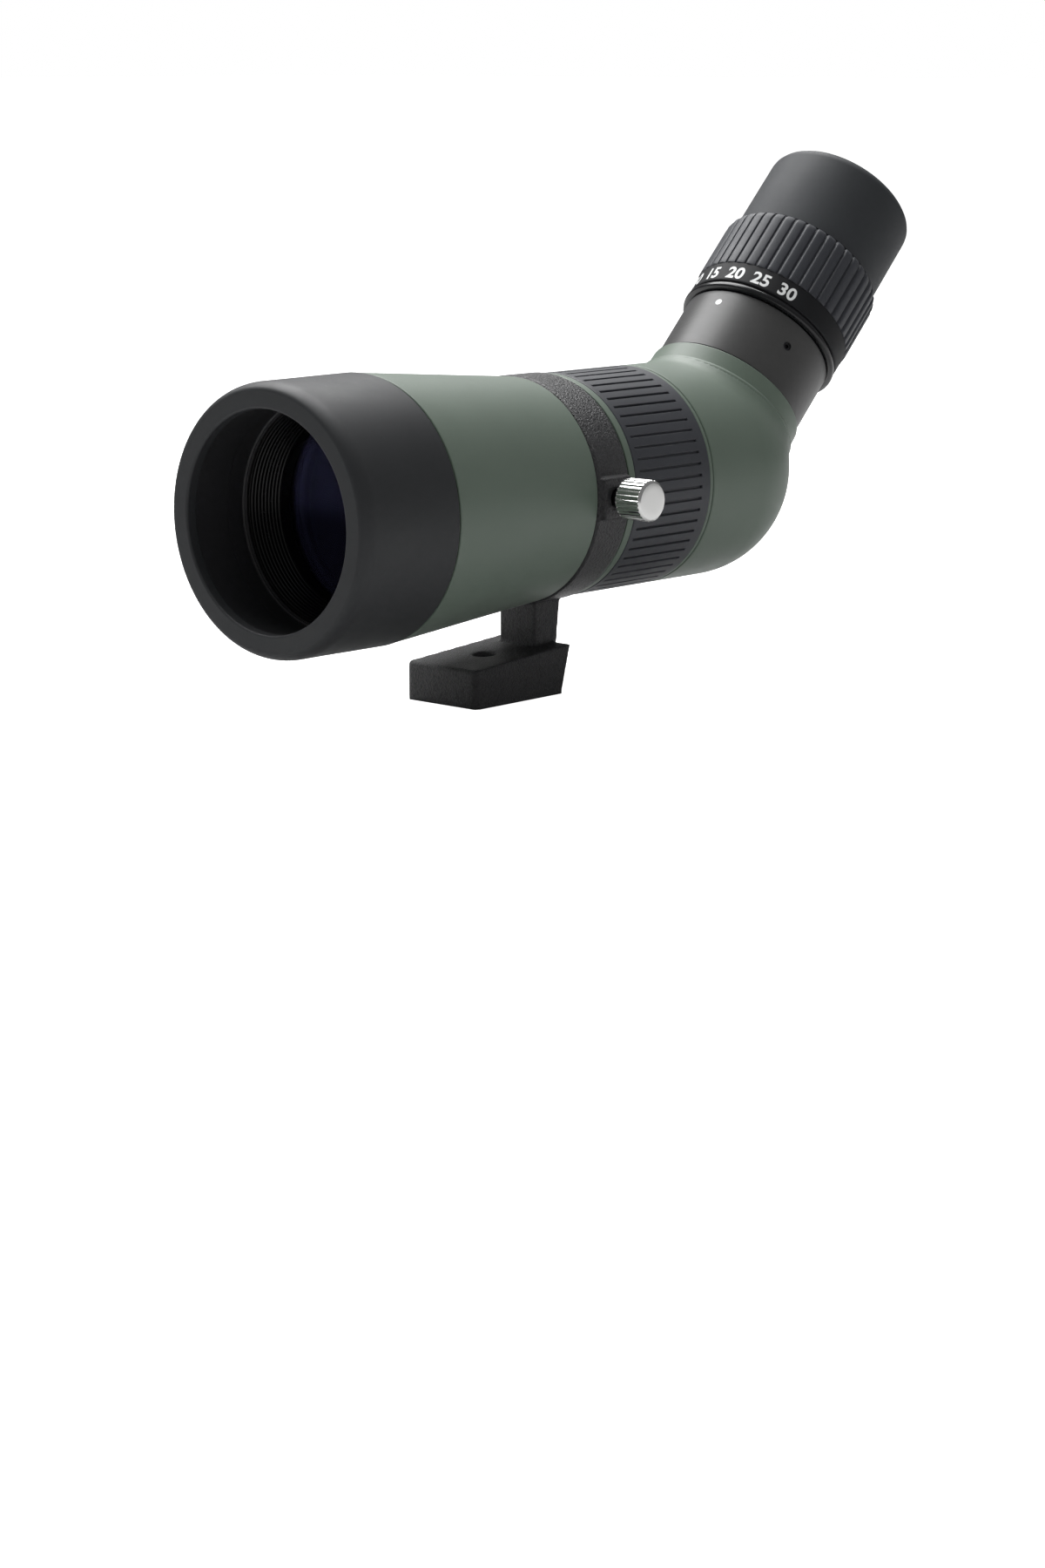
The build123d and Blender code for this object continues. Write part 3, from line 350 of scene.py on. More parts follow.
def map_range(tree, value, low, high, from_low=0.3, from_high=0.7):
    node = tree.nodes.new("ShaderNodeMapRange")
    node.inputs["From Min"].default_value = from_low
    node.inputs["From Max"].default_value = from_high
    node.inputs["To Min"].default_value = low
    node.inputs["To Max"].default_value = high
    tree.links.new(value, node.inputs["Value"])
    return node.outputs["Result"]


def two_tone(tree, factor, dark, light):
    node = tree.nodes.new("ShaderNodeMix")
    node.data_type = "RGBA"
    node.inputs["A"].default_value = (*dark, 1)
    node.inputs["B"].default_value = (*light, 1)
    tree.links.new(factor, node.inputs["Factor"])
    return node.outputs["Result"]


def bump(tree, shader, height, strength, distance):
    node = tree.nodes.new("ShaderNodeBump")
    node.inputs["Strength"].default_value = strength
    node.inputs["Distance"].default_value = distance
    tree.links.new(height, node.inputs["Height"])
    tree.links.new(node.outputs["Normal"], shader.inputs["Normal"])


def shaded(colour, share):
    return tuple(c * share for c in colour[:3])


def moulded(
        name, colour, rough, spread=0.06, grain=2600.0, depth=0.00003, strength=0.35, specular=0.5,
        sheen=0.0, contrast=0.12):
    """Rubber, rubberised paint and plastic: skin grain, cloudy tone and rubbed spots."""
    made, tree, shader, coordinates = start_material(name)
    marks = place_group(tree, handling_marks(), coordinates)
    tone = two_tone(
        tree, marks.outputs["Clouds"], shaded(colour, 1 - contrast), shaded(colour, 1 + contrast))
    tree.links.new(tone, shader.inputs["Base Color"])
    cloudy = map_range(tree, marks.outputs["Clouds"], rough - spread, rough + spread)
    tree.links.new(
        math_node(tree, "SUBTRACT", cloudy, math_node(tree, "MULTIPLY", marks.outputs["Spots"], 0.08)),
        shader.inputs["Roughness"])
    skin = place_group(tree, skin_grain(), coordinates, Scale=grain)
    bump(tree, shader, skin.outputs["Height"], strength, depth)
    shader.inputs["Specular IOR Level"].default_value = specular
    shader.inputs["Sheen Weight"].default_value = sheen
    shader.inputs["Sheen Roughness"].default_value = 0.45
    return made


def cast_black(name, colour):
    made, tree, shader, coordinates = start_material(name)
    peel = place_group(tree, orange_peel(), coordinates, Scale=1700.0)
    marks = place_group(tree, handling_marks(), coordinates, Cloud_scale=90.0)
    # painted shade and light: the coat is darker in the hollows between lumps and lighter on the lump tops
    tone = two_tone(tree, peel.outputs["Pit shade"], shaded(colour, 1.25), shaded(colour, 0.55))
    tree.links.new(tone, shader.inputs["Base Color"])
    tree.links.new(map_range(tree, marks.outputs["Clouds"], 0.3, 0.42), shader.inputs["Roughness"])
    bump(tree, shader, peel.outputs["Height"], 0.9, 0.00028)
    shader.inputs["Specular IOR Level"].default_value = 0.6
    return made


def anodised(name, colour, rough):
    made, tree, shader, coordinates = start_material(name)
    lines = place_group(tree, lathe_lines(), coordinates)
    marks = place_group(tree, handling_marks(), coordinates, Cloud_scale=70.0)
    tone = two_tone(tree, marks.outputs["Clouds"], shaded(colour, 0.8), shaded(colour, 1.2))
    tree.links.new(tone, shader.inputs["Base Color"])
    tree.links.new(
        map_range(tree, lines.outputs["Height"], rough - 0.05, rough + 0.07), shader.inputs["Roughness"])
    bump(tree, shader, lines.outputs["Height"], 0.12, 0.00001)
    shader.inputs["Metallic"].default_value = 0.1
    shader.inputs["Specular IOR Level"].default_value = 0.5
    return made


def bare_metal(name, colour, rough):
    made, tree, shader, coordinates = start_material(name)
    marks = place_group(tree, handling_marks(), coordinates, Cloud_scale=160.0, Spot_scale=2200.0)
    tone = two_tone(tree, marks.outputs["Clouds"], shaded(colour, 0.9), shaded(colour, 1.0))
    tree.links.new(tone, shader.inputs["Base Color"])
    tree.links.new(
        map_range(tree, marks.outputs["Clouds"], rough * 0.75, rough * 1.35), shader.inputs["Roughness"])
    skin = place_group(tree, skin_grain(), coordinates, Scale=4200.0)
    bump(tree, shader, skin.outputs["Height"], 0.08, 0.00001)
    shader.inputs["Metallic"].default_value = 1.0
    return made


def coated_glass(name, colour, tint, haze=0.015):
    made, tree, shader, coordinates = start_material(name)
    marks = place_group(tree, handling_marks(), coordinates, Cloud_scale=60.0)
    tone = two_tone(tree, marks.outputs["Clouds"], shaded(colour, 0.94), colour[:3])
    tree.links.new(tone, shader.inputs["Base Color"])
    tree.links.new(
        map_range(tree, marks.outputs["Clouds"], haze * 0.8, haze * 1.2), shader.inputs["Roughness"])
    shader.inputs["Transmission Weight"].default_value = 1.0
    shader.inputs["IOR"].default_value = 1.52 if haze < 0.05 else 1.36
    shader.inputs["Specular Tint"].default_value = (*tint, 1)
    return made


def material(key):
    """The finished material of that key, made the first time it is asked for."""
    name = f"scope_{key}"
    if name in bpy.data.materials:
        return bpy.data.materials[name]
    c = bpy.context.scene.scope_finishes
    makers = {
        "black_armour": lambda: moulded(
            name, c.hood_black, 0.56, grain=3000.0, strength=0.3, specular=0.36, sheen=0.02),
        "green_armour": lambda: moulded(
            name, c.body_green, 0.47, grain=3400.0, strength=0.2, sheen=0.08, contrast=0.05),
        "grip_rubber": lambda: moulded(
            name, c.grip_black, 0.5, grain=2800.0, strength=0.35, specular=0.45, sheen=0.05),
        "eyecup_rubber": lambda: moulded(
            name, c.eyecup_black, 0.62, grain=3000.0, strength=0.3, specular=0.32, sheen=0.04),
        "black_plastic": lambda: moulded(name, c.lining_black, 0.5, grain=2200.0, strength=0.25),
        "lining_black": lambda: moulded(
            name, shaded(c.lining_black, 2.2), 0.42, grain=2000.0, strength=0.15),
        # painted shade: the glare cone is the lining black at 0.3, far darker than the hood lining at 2.2,
        # for the shade deep in the tube
        "cone_shaded_black": lambda: moulded(
            name, shaded(c.lining_black, 0.3), 0.3, grain=2000.0, strength=0.1, specular=0.3),
        "dial_black": lambda: moulded(
            name, c.dial_black, 0.62, grain=4200.0, strength=0.15, specular=0.3),
        "nylon": lambda: moulded(name, (0.55, 0.55, 0.5), 0.45),
        "white_paint": lambda: moulded(
            name, c.mark_white, 0.4, grain=5200.0, strength=0.1, contrast=0.03),
        "black_casting": lambda: cast_black(name, c.casting_black),
        "black_anodised": lambda: anodised(name, c.barrel_black, c.barrel_roughness),
        "gloss_black": lambda: moulded(
            name, shaded(c.dial_black, 0.8), 0.24, spread=0.03, grain=3600.0, strength=0.06),
        "chrome": lambda: bare_metal(name, c.knob_chrome, 0.16),
        "steel": lambda: bare_metal(name, (0.35, 0.35, 0.36), 0.3),
        "dark_steel": lambda: bare_metal(name, (0.06, 0.06, 0.065), 0.3),
        "optical_glass": lambda: coated_glass(name, (0.9, 0.92, 0.97), (0.8, 0.8, 1.0)),
        # the tint given to this glass is painted reflection and shade, not the glass's own colour
        "objective_glass": lambda: coated_glass(name, c.lens_painted_tint, c.coating_tint, 0.16),
    }
    return makers[key]()


# ---------------------------------------------------------------- what a user can change
class ScopeSizes(bpy.types.PropertyGroup):
    hood_rounding: bpy.props.FloatProperty(
        name="Hood rounding", description="Rounding of the hood's front edge, mm", default=4.6, min=1,
        max=6)
    grip_slots: bpy.props.IntProperty(
        name="Focus grip slots", description="Slots round the focus grip", default=60, min=20, max=90)
    slot_depth: bpy.props.FloatProperty(
        name="Slot depth", description="Depth of the focus grip's slots, mm", default=0.6, min=0.2,
        max=1.2)
    zoom_ribs: bpy.props.IntProperty(
        name="Zoom ribs", description="Ribs round the zoom grip", default=44, min=20, max=72)
    knob_flutes: bpy.props.IntProperty(
        name="Knob flutes", description="Flutes round the clamp knob", default=26, min=12, max=40)
    number_height: bpy.props.FloatProperty(
        name="Number height", description="Height of the dial's numbers", default=4.0 * MM,
        subtype="DISTANCE", unit="LENGTH")
    casting_voxel: bpy.props.FloatProperty(
        name="Casting detail", description="Voxel size of the collar casting", default=0.42 * MM,
        subtype="DISTANCE", unit="LENGTH")


class ScopeFinishes(bpy.types.PropertyGroup):
    hood_black: bpy.props.FloatVectorProperty(
        name="Hood", description="Rubber hood", subtype="COLOR", default=(0.026, 0.0275, 0.03))
    body_green: bpy.props.FloatVectorProperty(
        name="Body green", description="Rubberised green paint", subtype="COLOR",
        default=(0.119, 0.156, 0.124))
    grip_black: bpy.props.FloatVectorProperty(
        name="Grips", description="Focus and zoom grips", subtype="COLOR", default=(0.038, 0.041, 0.049))
    eyecup_black: bpy.props.FloatVectorProperty(
        name="Eyecup", description="Eyecup rubber", subtype="COLOR", default=(0.036, 0.039, 0.043))
    lining_black: bpy.props.FloatVectorProperty(
        name="Lining", description="Inside of the hood and tube", subtype="COLOR",
        default=(0.012, 0.012, 0.013))
    dial_black: bpy.props.FloatVectorProperty(
        name="Dial", description="Number band", subtype="COLOR", default=(0.0085, 0.0088, 0.0105))
    casting_black: bpy.props.FloatVectorProperty(
        name="Casting", description="Collar and foot", subtype="COLOR", default=(0.022, 0.022, 0.024))
    barrel_black: bpy.props.FloatVectorProperty(
        name="Barrel", description="Eyepiece barrel", subtype="COLOR", default=(0.062, 0.062, 0.062))
    barrel_roughness: bpy.props.FloatProperty(
        name="Barrel roughness", description="Gloss of the barrel", default=0.4, min=0, max=1,
        subtype="FACTOR")
    knob_chrome: bpy.props.FloatVectorProperty(
        name="Knob", description="Clamp knob", subtype="COLOR", default=(0.82, 0.82, 0.81))
    mark_white: bpy.props.FloatVectorProperty(
        name="Marks", description="Numbers and index dot", subtype="COLOR", default=(0.85, 0.86, 0.86))
    # painted reflection and shade: the glass is tinted dark blue-violet for the coating's reflection and
    # the dark tube seen through it; the real glass is clear
    lens_painted_tint: bpy.props.FloatVectorProperty(
        name="Objective glass", description="Tint of the objective", subtype="COLOR",
        default=(0.32, 0.33, 0.45))
    coating_tint: bpy.props.FloatVectorProperty(
        name="Coating", description="Reflected colour of the coating", subtype="COLOR",
        default=(0.55, 0.5, 1.0))


def sizes():
    return bpy.context.scene.scope_sizes


# ---------------------------------------------------------------- pieces
class SCOPE_OT_hood(bpy.types.Operator):
    """Rubber hood with its large soft front edge, and the black lining inside it"""
    bl_idname = "scope.hood"
    bl_label = "Rubber hood"

    def execute(self, context):
        front, rear, radius = HOOD_FRONT / MM, HOOD_REAR / MM - 0.45, HOOD_RADIUS / MM
        long, short = sizes().hood_rounding, sizes().hood_rounding * 0.5
        shoulder = []
        for k in range(13):
            turn = math.radians(7.5 * k)
            along = front + long * (1 - math.sin(turn))
            shoulder.append((along, radius - 0.15 - short * (1 - math.cos(turn)), 0))
        corners = [(front, radius - 6.9, 0.7)] + shoulder[::-1] + [
            (front + 14.8, radius - 0.12, 0), (front + 24.0, radius - 0.05, 0), (rear, radius, 0.45),
            (rear, radius - 2.9, 0), (front + 3.2, radius - 2.9, 0), (front + 3.2, radius - 6.9, 0.2)]
        turned_piece(
            "hood_armour", corners, OPTICAL, "scope", "black_armour", ("hood_rubber",),
            steps=256)
        lip = CONE_FRONT / MM - 0.6
        wall = radius - 3.0
        inner = radius - 5.95
        corners = [
            (LINING_FRONT / MM, radius - 6.2, 0.2), (LINING_FRONT / MM, wall, 0),
            (LINING_REAR / MM, wall, 0),
            (LINING_REAR / MM, inner, 0), (lip + 0.2, inner, 0), (lip + 0.1, inner + 0.12, 0.1),
            (lip - 0.35, inner + 0.15, 0.12), (lip - 0.5, inner + 0.62, 0.12),
            (lip - 1.0, inner + 0.62, 0),
            (lip - 6.0, inner + 0.42, 0), (lip - 6.2, inner + 0.3, 0.1), (lip - 12.0, inner + 0.0, 0)]
        turned_piece(
            "hood_lining", corners, OPTICAL, "scope", "lining_black", ("hood_barrel",),
            steps=256, sharp=25)
        return {"FINISHED"}


class SCOPE_OT_objective(bpy.types.Operator):
    """Stepped glare cone, coated objective lens and its ring"""
    bl_idname = "scope.objective"
    bl_label = "Objective"

    def execute(self, context):
        front, rear = CONE_FRONT / MM, CONE_REAR / MM
        wide = (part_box("objective_retainer")[1][1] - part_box("objective_retainer")[0][1]) / 2 / MM
        cell_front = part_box("objective_cell")[0][0] / MM
        glass = (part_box("crown_lens")[1][1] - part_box("crown_lens")[0][1]) / 2 / MM
        narrow = glass - 1.0
        corners = [(front, wide, 0), (cell_front - 0.05, wide, 0), (cell_front - 0.05, glass - 0.1, 0),
                   (rear, glass - 0.1, 0), (rear, narrow, 0), (cell_front - 0.4, narrow, 0.15)]
        ridges = 9
        length = (cell_front - 0.6 - front - 0.3) / ridges
        fall = (wide - 0.9 - narrow) / ridges
        for k in range(ridges):
            x = cell_front - 0.6 - length * k
            corners.append((x - length * 0.45, narrow + fall * (k + 0.45), 0))
            corners.append((x - length * 0.7, narrow + fall * (k + 1.1), 0))
        corners.append((front, wide - 0.7, 0.1))
        # the cone wears the darker copy of the lining black, painted shade for its place deep in the tube
        turned_piece(
            "glare_cone", corners, OPTICAL, "scope", "cone_shaded_black",
            ("objective_retainer",), steps=224, sharp=20)
        low, high = span_x("crown_lens")
        edge_front = low / MM + 3.3
        corners = dome_points(low / MM, edge_front, glass, 20) + dome_points(
            high / MM, high / MM - 3.6, glass, 16, False)
        turned_piece(
            "objective_crown", corners, OPTICAL, "scope", "objective_glass",
            ("crown_lens",), steps=128)
        return {"FINISHED"}


class SCOPE_OT_main_tube(bpy.types.Operator):
    """Tapered green tube with its bearing, bore and end rims"""
    bl_idname = "scope.main_tube"
    bl_label = "Main tube"

    def execute(self, context):
        front, rear, radius = TUBE_FRONT / MM, TUBE_REAR / MM, TUBE_RADIUS / MM
        collar = COLLAR_FRONT / MM
        body = HOUSING_RADIUS / MM
        bearing, track = body - 2.7, body - 3.8
        bore = track - 2.3
        corners = [
            (front, HOOD_RADIUS / MM - 2.95, 0), (front, radius - 0.05, 0.4),
            (front + 14, radius - 1.17, 0),
            (front + 28, radius - 2.33, 0), (front + 43, radius - 3.55, 0), (collar, body + 0.1, 0.25),
            (collar, bearing, 0), (FOCUS_FRONT / MM + 1.2, bearing, 0),
            (FOCUS_FRONT / MM + 1.2, track, 0),
            (rear, track, 0.1), (rear, bore, 0.1), (collar - 2, bore, 0), (collar - 5, bore + 3.2, 0),
            (front + 8.4, HOOD_RADIUS / MM - 4.85, 0), (front + 8.4, HOOD_RADIUS / MM - 2.95, 0)]
        turned_piece(
            "green_tube", corners, OPTICAL, "scope", "green_armour", ("objective_tube",),
            steps=256)
        return {"FINISHED"}


class SCOPE_OT_mount_casting(bpy.types.Operator):
    """Collar, stem and foot as one softened casting with an orange-peel finish"""
    bl_idname = "scope.mount_casting"
    bl_label = "Collar and foot"

    def execute(self, context):
        bm = bmesh.new()
        bm.from_mesh(frame["nodes"]["collar_foot"].data)
        bmesh.ops.remove_doubles(bm, verts=bm.verts[:], dist=2e-6)
        mesh = bpy.data.meshes.new("casting_blank")
        bm.to_mesh(mesh)
        bm.free()
        blank = bpy.data.objects.new("casting_blank", mesh)
        context.scene.collection.objects.link(blank)
        remesh = blank.modifiers.new("Cast skin", "REMESH")
        remesh.mode = "VOXEL"
        remesh.voxel_size = sizes().casting_voxel
        remesh.adaptivity = 0.0
        context.view_layer.update()
        ready = bpy.data.meshes.new_from_object(blank.evaluated_get(context.evaluated_depsgraph_get()))
        bpy.data.objects.remove(blank)
        bm = bmesh.new()
        bm.from_mesh(ready)
        bmesh.ops.recalc_face_normals(bm, faces=bm.faces[:])
        soften = [v for v in bm.verts if v.co.z > 0.25 * MM]
        for _ in range(8):
            bmesh.ops.smooth_vert(
                bm, verts=soften, factor=0.5, use_axis_x=True, use_axis_y=True, use_axis_z=True)
        # draw the ring's round walls back to their turned radii
        ring_outer = HOUSING_RADIUS / MM + 0.35
        bore = HOUSING_RADIUS / MM - 2.0
        for vert in bm.verts:
            station, radius, angle = OPTICAL.polar(vert.co)
            if abs(radius / MM - bore) < 0.45:
                vert.co = OPTICAL.point(station, bore * MM, angle)
            elif (abs(radius / MM - ring_outer) < 0.3
                  and COLLAR_FRONT + 1.0 * MM < station < COLLAR_REAR - 1.0 * MM):
                vert.co = OPTICAL.point(station, ring_outer * MM, angle)
        make_piece(
            bm, "collar_casting", "mount", "black_casting", ("collar_foot",), sharp=180)
        return {"FINISHED"}


class SCOPE_OT_clamp_knob(bpy.types.Operator):
    """Bright knurled thumb knob, bored for its screw"""
    bl_idname = "scope.clamp_knob"
    bl_label = "Clamp knob"

    def execute(self, context):
        low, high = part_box("knob_head")
        base, end = -high[1] / MM, -low[1] / MM
        radius = (high[0] - low[0]) / 2 / MM + 0.4
        flutes = sizes().knob_flutes
        corners = [
            (base, 2.5, 0), (base, radius - 0.9, 0.15), (base + 0.5, radius, 0.12),
            (base + 0.9, radius, 0),
            (end - 1.3, radius, 0), (end - 0.6, radius, 0.15), (end - 0.02, radius - 0.62, 0.2),
            (end, radius - 2.5, 0), (end, 0.0, 0), (base + 5.0, 0.0, 0), (base + 5.0, 2.5, 0)]
        bm = bmesh.new()
        turn_outline(bm, corners, KNOB, flutes * 8)
        ring_wave(bm, KNOB, flutes, (-0.34, -0.14, -0.02, 0.0, 0.0, 0.0, -0.02, -0.14), radius - 0.1)
        make_piece(bm, "thumb_knob", "clamp_knob", "chrome", ("knob_head",), sharp=30)
        return {"FINISHED"}


class SCOPE_OT_focus_ring(bpy.types.Operator):
    """Green focus ring with its slotted rubber grip"""
    bl_idname = "scope.focus_ring"
    bl_label = "Focus ring"

    def execute(self, context):
        front, rear = FOCUS_FRONT / MM, FOCUS_REAR / MM
        grip_front, grip_rear = GRIP_FRONT / MM, GRIP_REAR / MM
        body = HOUSING_RADIUS / MM
        corners = [
            (front, body - 1.2, 0), (front, body - 0.1, 0.25), (grip_front - 0.05, body - 0.1, 0.18),
            (grip_front - 0.05, body - 2.1, 0), (grip_rear + 0.05, body - 2.1, 0),
            (grip_rear + 0.05, body - 0.1, 0.18),
            (rear, body - 0.1, 0.2), (rear, body - 3.75, 0), (front + 1.4, body - 3.75, 0),
            (front + 1.4, body - 1.2, 0)]
        turned_piece(
            "focus_sleeve", corners, OPTICAL, "focus_ring", "green_armour",
            ("focus_core",), steps=256)
        slots = sizes().grip_slots
        first, last = grip_front + 1.85, grip_rear - 3.45
        corners = [
            (grip_front, body - 2.05, 0), (grip_front, body, 0.35), (first, body, 0), (last, body, 0),
            (grip_rear, body, 0.35), (grip_rear, body - 2.05, 0)]
        bm = bmesh.new()
        turn_outline(bm, corners, OPTICAL, slots * 10)
        bm.faces.ensure_lookup_table()
        pitch = FULL_TURN / slots
        sunk = []
        for face in bm.faces:
            station, radius, angle = OPTICAL.polar(face.calc_center_median())
            if first * MM < station < last * MM and radius > (body - 0.5) * MM:
                if ((angle / pitch) % 1.0) * 10 < 3:
                    sunk.append(face)
        bmesh.ops.inset_region(bm, faces=sunk, thickness=0.12 * MM, depth=-0.1 * MM, use_even_offset=True)
        bmesh.ops.inset_region(
            bm, faces=sunk, thickness=0.04 * MM, depth=-sizes().slot_depth * MM, use_even_offset=True)
        make_piece(
            bm, "focus_rubber", "focus_ring", "grip_rubber", ("focus_grip",), sharp=32)
        return {"FINISHED"}


class SCOPE_OT_prism_housing(bpy.types.Operator):
    """Green elbow housing that runs softly into the eyepiece neck"""
    bl_idname = "scope.prism_housing"
    bl_label = "Prism housing"

    def execute(self, context):
        front = HOUSING_FRONT / MM
        body = HOUSING_RADIUS / MM
        elbow = ELBOW.x / MM
        corners = [(front, body - 3.7, 0), (front, body, 0.35)]
        straight = 44
        corners += [(front + 0.6 + (elbow - front - 0.6) * k / straight, body, 0) for k in range(straight)]
        corners += arc_points(elbow, 0, body, 90, 0, 84)
        corners += arc_points(elbow, 0, body - 3.3, 0, 78, 20)
        corners += [(front + 8.9, body - 5.2, 0), (front + 8.9, body - 3.7, 0)]
        bm = bmesh.new()
        turn_outline(bm, corners, OPTICAL, 360)
        rim = BARREL_RADIUS / MM + 1.8
        flare = 2.6
        for vert in bm.verts:
            if OPTICAL.polar(vert.co)[1] < (body - 8) * MM and (vert.co - ELBOW).length < (body - 1) * MM:
                continue
            station, radius, _ = EYE.polar(vert.co)
            gap = radius / MM - rim
            if station > 0 and -0.6 < gap < flare and (vert.co - ELBOW).length > (body - 0.5) * MM:
                share = max(gap, 0.0) / flare
                rise = flare * (1 - math.sqrt(max(0.0, 1 - (1 - share) ** 2)))
                vert.co += EYE.way * rise * MM * 0.8
        make_piece(
            bm, "elbow_shell", "scope", "green_armour", ("prism_housing",), sharp=38)
        neck_top = 26.4
        wall = BARREL_RADIUS / MM
        corners = [
            (15.0, wall - 2.45, 0), (15.0, rim - 1.0, 0), (17.0, rim, 0), (20.75, rim, 0.55),
            (21.15, wall + 1.0, 0.3),
            (23.5, wall + 0.9, 0), (neck_top, wall + 0.8, 0.35), (neck_top, wall - 2.45, 0)]
        turned_piece("eyepiece_neck", corners, EYE, "scope", "green_armour", steps=224)
        return {"FINISHED"}


class SCOPE_OT_eyepiece_barrel(bpy.types.Operator):
    """Satin barrel with its grub screw holes and index pocket"""
    bl_idname = "scope.eyepiece_barrel"
    bl_label = "Eyepiece barrel"

    def execute(self, context):
        wall = BARREL_RADIUS / MM
        corners = [
            (26.85, wall - 2.45, 0), (26.85, wall, 0.3), (36.0, wall, 0), (46.7, wall, 0.3),
            (46.7, wall - 3.0, 0),
            (64.0, wall - 3.0, 0.1), (64.0, wall - 5.0, 0.1), (44.0, wall - 5.0, 0),
            (44.0, wall - 2.45, 0)]
        piece = turned_piece(
            "satin_barrel", corners, EYE, "scope", "black_anodised",
            ("eyepiece_barrel",), steps=160)
        bm = bmesh.new()
        screw_holes = [(39.0, angle, 1.27, wall - 3.2) for angle in (66.2, 186.2, 306.2)]
        holes = screw_holes + [(42.4, 3.3, 1.02, wall - 0.35)]
        for station, angle, radius, floor in holes:
            way = EYE.point(0, 1, math.radians(angle)) - EYE.origin
            start = EYE.point(station * MM, floor * MM, math.radians(angle))
            turn = way.to_track_quat("Z", "X").to_matrix().to_4x4()
            place = Matrix.Translation(start + way * 2.5 * MM) @ turn
            bmesh.ops.create_cone(
                bm, cap_ends=True, segments=40, radius1=radius * MM, radius2=radius * MM, depth=5 * MM,
                matrix=place)
        mesh = bpy.data.meshes.new("hole_cutters")
        bm.to_mesh(mesh)
        bm.free()
        cutter = bpy.data.objects.new("hole_cutters", mesh)
        context.scene.collection.objects.link(cutter)
        cut = piece.modifiers.new("Holes", "BOOLEAN")
        cut.object = cutter
        cut.operation = "DIFFERENCE"
        cut.solver = "EXACT"
        piece.modifiers.move(1, 0)
        context.view_layer.update()
        ready = bpy.data.meshes.new_from_object(piece.evaluated_get(context.evaluated_depsgraph_get()))
        piece.modifiers.clear()
        piece.data = ready
        ready.name = "satin_barrel"
        bpy.data.objects.remove(cutter)
        return {"FINISHED"}


class SCOPE_OT_zoom_ring(bpy.types.Operator):
    """Number dial, its painted numbers and the ribbed zoom grip"""
    bl_idname = "scope.zoom_ring"
    bl_label = "Zoom ring"

    def execute(self, context):
        wall = BARREL_RADIUS / MM
        corners = [
            (46.9, wall - 2.95, 0), (46.9, wall - 0.4, 0.2), (49.5, wall - 0.4, 0),
            (49.5, wall + 1.1, 0.25),
            (50.0, wall + 1.28, 0.1), (52.5, wall + 1.3, 0), (56.1, wall + 1.3, 0), (56.1, wall + 0.4, 0),
            (75.6, wall + 0.4, 0), (75.6, wall - 0.05, 0), (61.5, wall - 0.05, 0), (61.5, wall - 2.95, 0)]
        turned_piece(
            "zoom_dial", corners, EYE, "zoom_ring", "dial_black", ("zoom_core",),
            steps=224)
        corners = [
            (46.95, wall - 0.35, 0), (46.95, wall + 0.5, 0.3), (47.35, wall + 1.5, 0.5),
            (48.75, wall + 1.55, 0.55),
            (49.0, wall + 0.7, 0.1), (49.45, wall + 0.7, 0), (49.45, wall - 0.35, 0)]
        turned_piece("dial_lip", corners, EYE, "zoom_ring", "gloss_black", steps=192)
        self.numbers(context, wall + 1.3)
        ribs = sizes().zoom_ribs
        outer = GRIP_RADIUS / MM
        corners = [
            (56.15, wall + 0.45, 0), (56.15, outer - 0.12, 0.2), (57.2, outer, 0), (62.0, outer + 0.0, 0),
            (68.0, outer + 0.0, 0), (73.6, outer, 0), (75.1, outer - 0.35, 0.3),
            (76.0, outer - 1.15, 0.25),
            (76.0, wall - 0.05, 0), (75.64, wall - 0.05, 0), (75.64, wall + 0.45, 0)]
        bm = bmesh.new()
        turn_outline(bm, corners, EYE, ribs * 12)
        wave = (-0.68, -0.66, -0.16, 0.0, 0.03, 0.02, 0.0, -0.03, -0.07, -0.11, -0.16, -0.24)
        ring_wave(bm, EYE, ribs, wave, wall + 0.55)
        make_piece(bm, "zoom_rubber", "zoom_ring", "grip_rubber", ("zoom_grip",), sharp=34)
        return {"FINISHED"}

    def numbers(self, context, radius):
        """Painted numbers wrapped round the dial, upright towards the eye."""
        bm = bmesh.new()
        height = sizes().number_height
        for label, angle in (("10", -34.4), ("15", -14.3), ("20", 5.8), ("25", 25.7), ("30", 46.1)):
            curve = bpy.data.curves.new("number_" + label, "FONT")
            curve.body = label
            curve.size = height * 1.38
            curve.align_x = "CENTER"
            curve.align_y = "CENTER"
            curve.offset = height * 0.035
            curve.space_character = 1.02
            curve.resolution_u = 6
            text = bpy.data.objects.new("number_" + label, curve)
            context.scene.collection.objects.link(text)
            context.view_layer.update()
            flat = bpy.data.meshes.new_from_object(text)
            bpy.data.objects.remove(text)
            part = bmesh.new()
            part.from_mesh(flat)
            bmesh.ops.remove_doubles(part, verts=part.verts[:], dist=1e-7)
            middle_x = (max(v.co.x for v in part.verts) + min(v.co.x for v in part.verts)) / 2
            middle_y = (max(v.co.y for v in part.verts) + min(v.co.y for v in part.verts)) / 2
            solid = bmesh.ops.extrude_face_region(part, geom=part.faces[:])
            raised = {v for v in solid["geom"] if isinstance(v, bmesh.types.BMVert)}
            for vert in part.verts:
                lift = 0.035 * MM if vert in raised else -0.05 * MM
                round_by = math.radians(angle) + (vert.co.x - middle_x) / (radius * MM)
                vert.co = EYE.point(52.45 * MM + (vert.co.y - middle_y), radius * MM + lift, round_by)
            bmesh.ops.recalc_face_normals(part, faces=part.faces[:])
            wrapped = bpy.data.meshes.new("wrapped")
            part.to_mesh(wrapped)
            part.free()
            bm.from_mesh(wrapped)
            bpy.data.meshes.remove(wrapped)
        make_piece(bm, "dial_numbers", "zoom_ring", "white_paint", sharp=30)


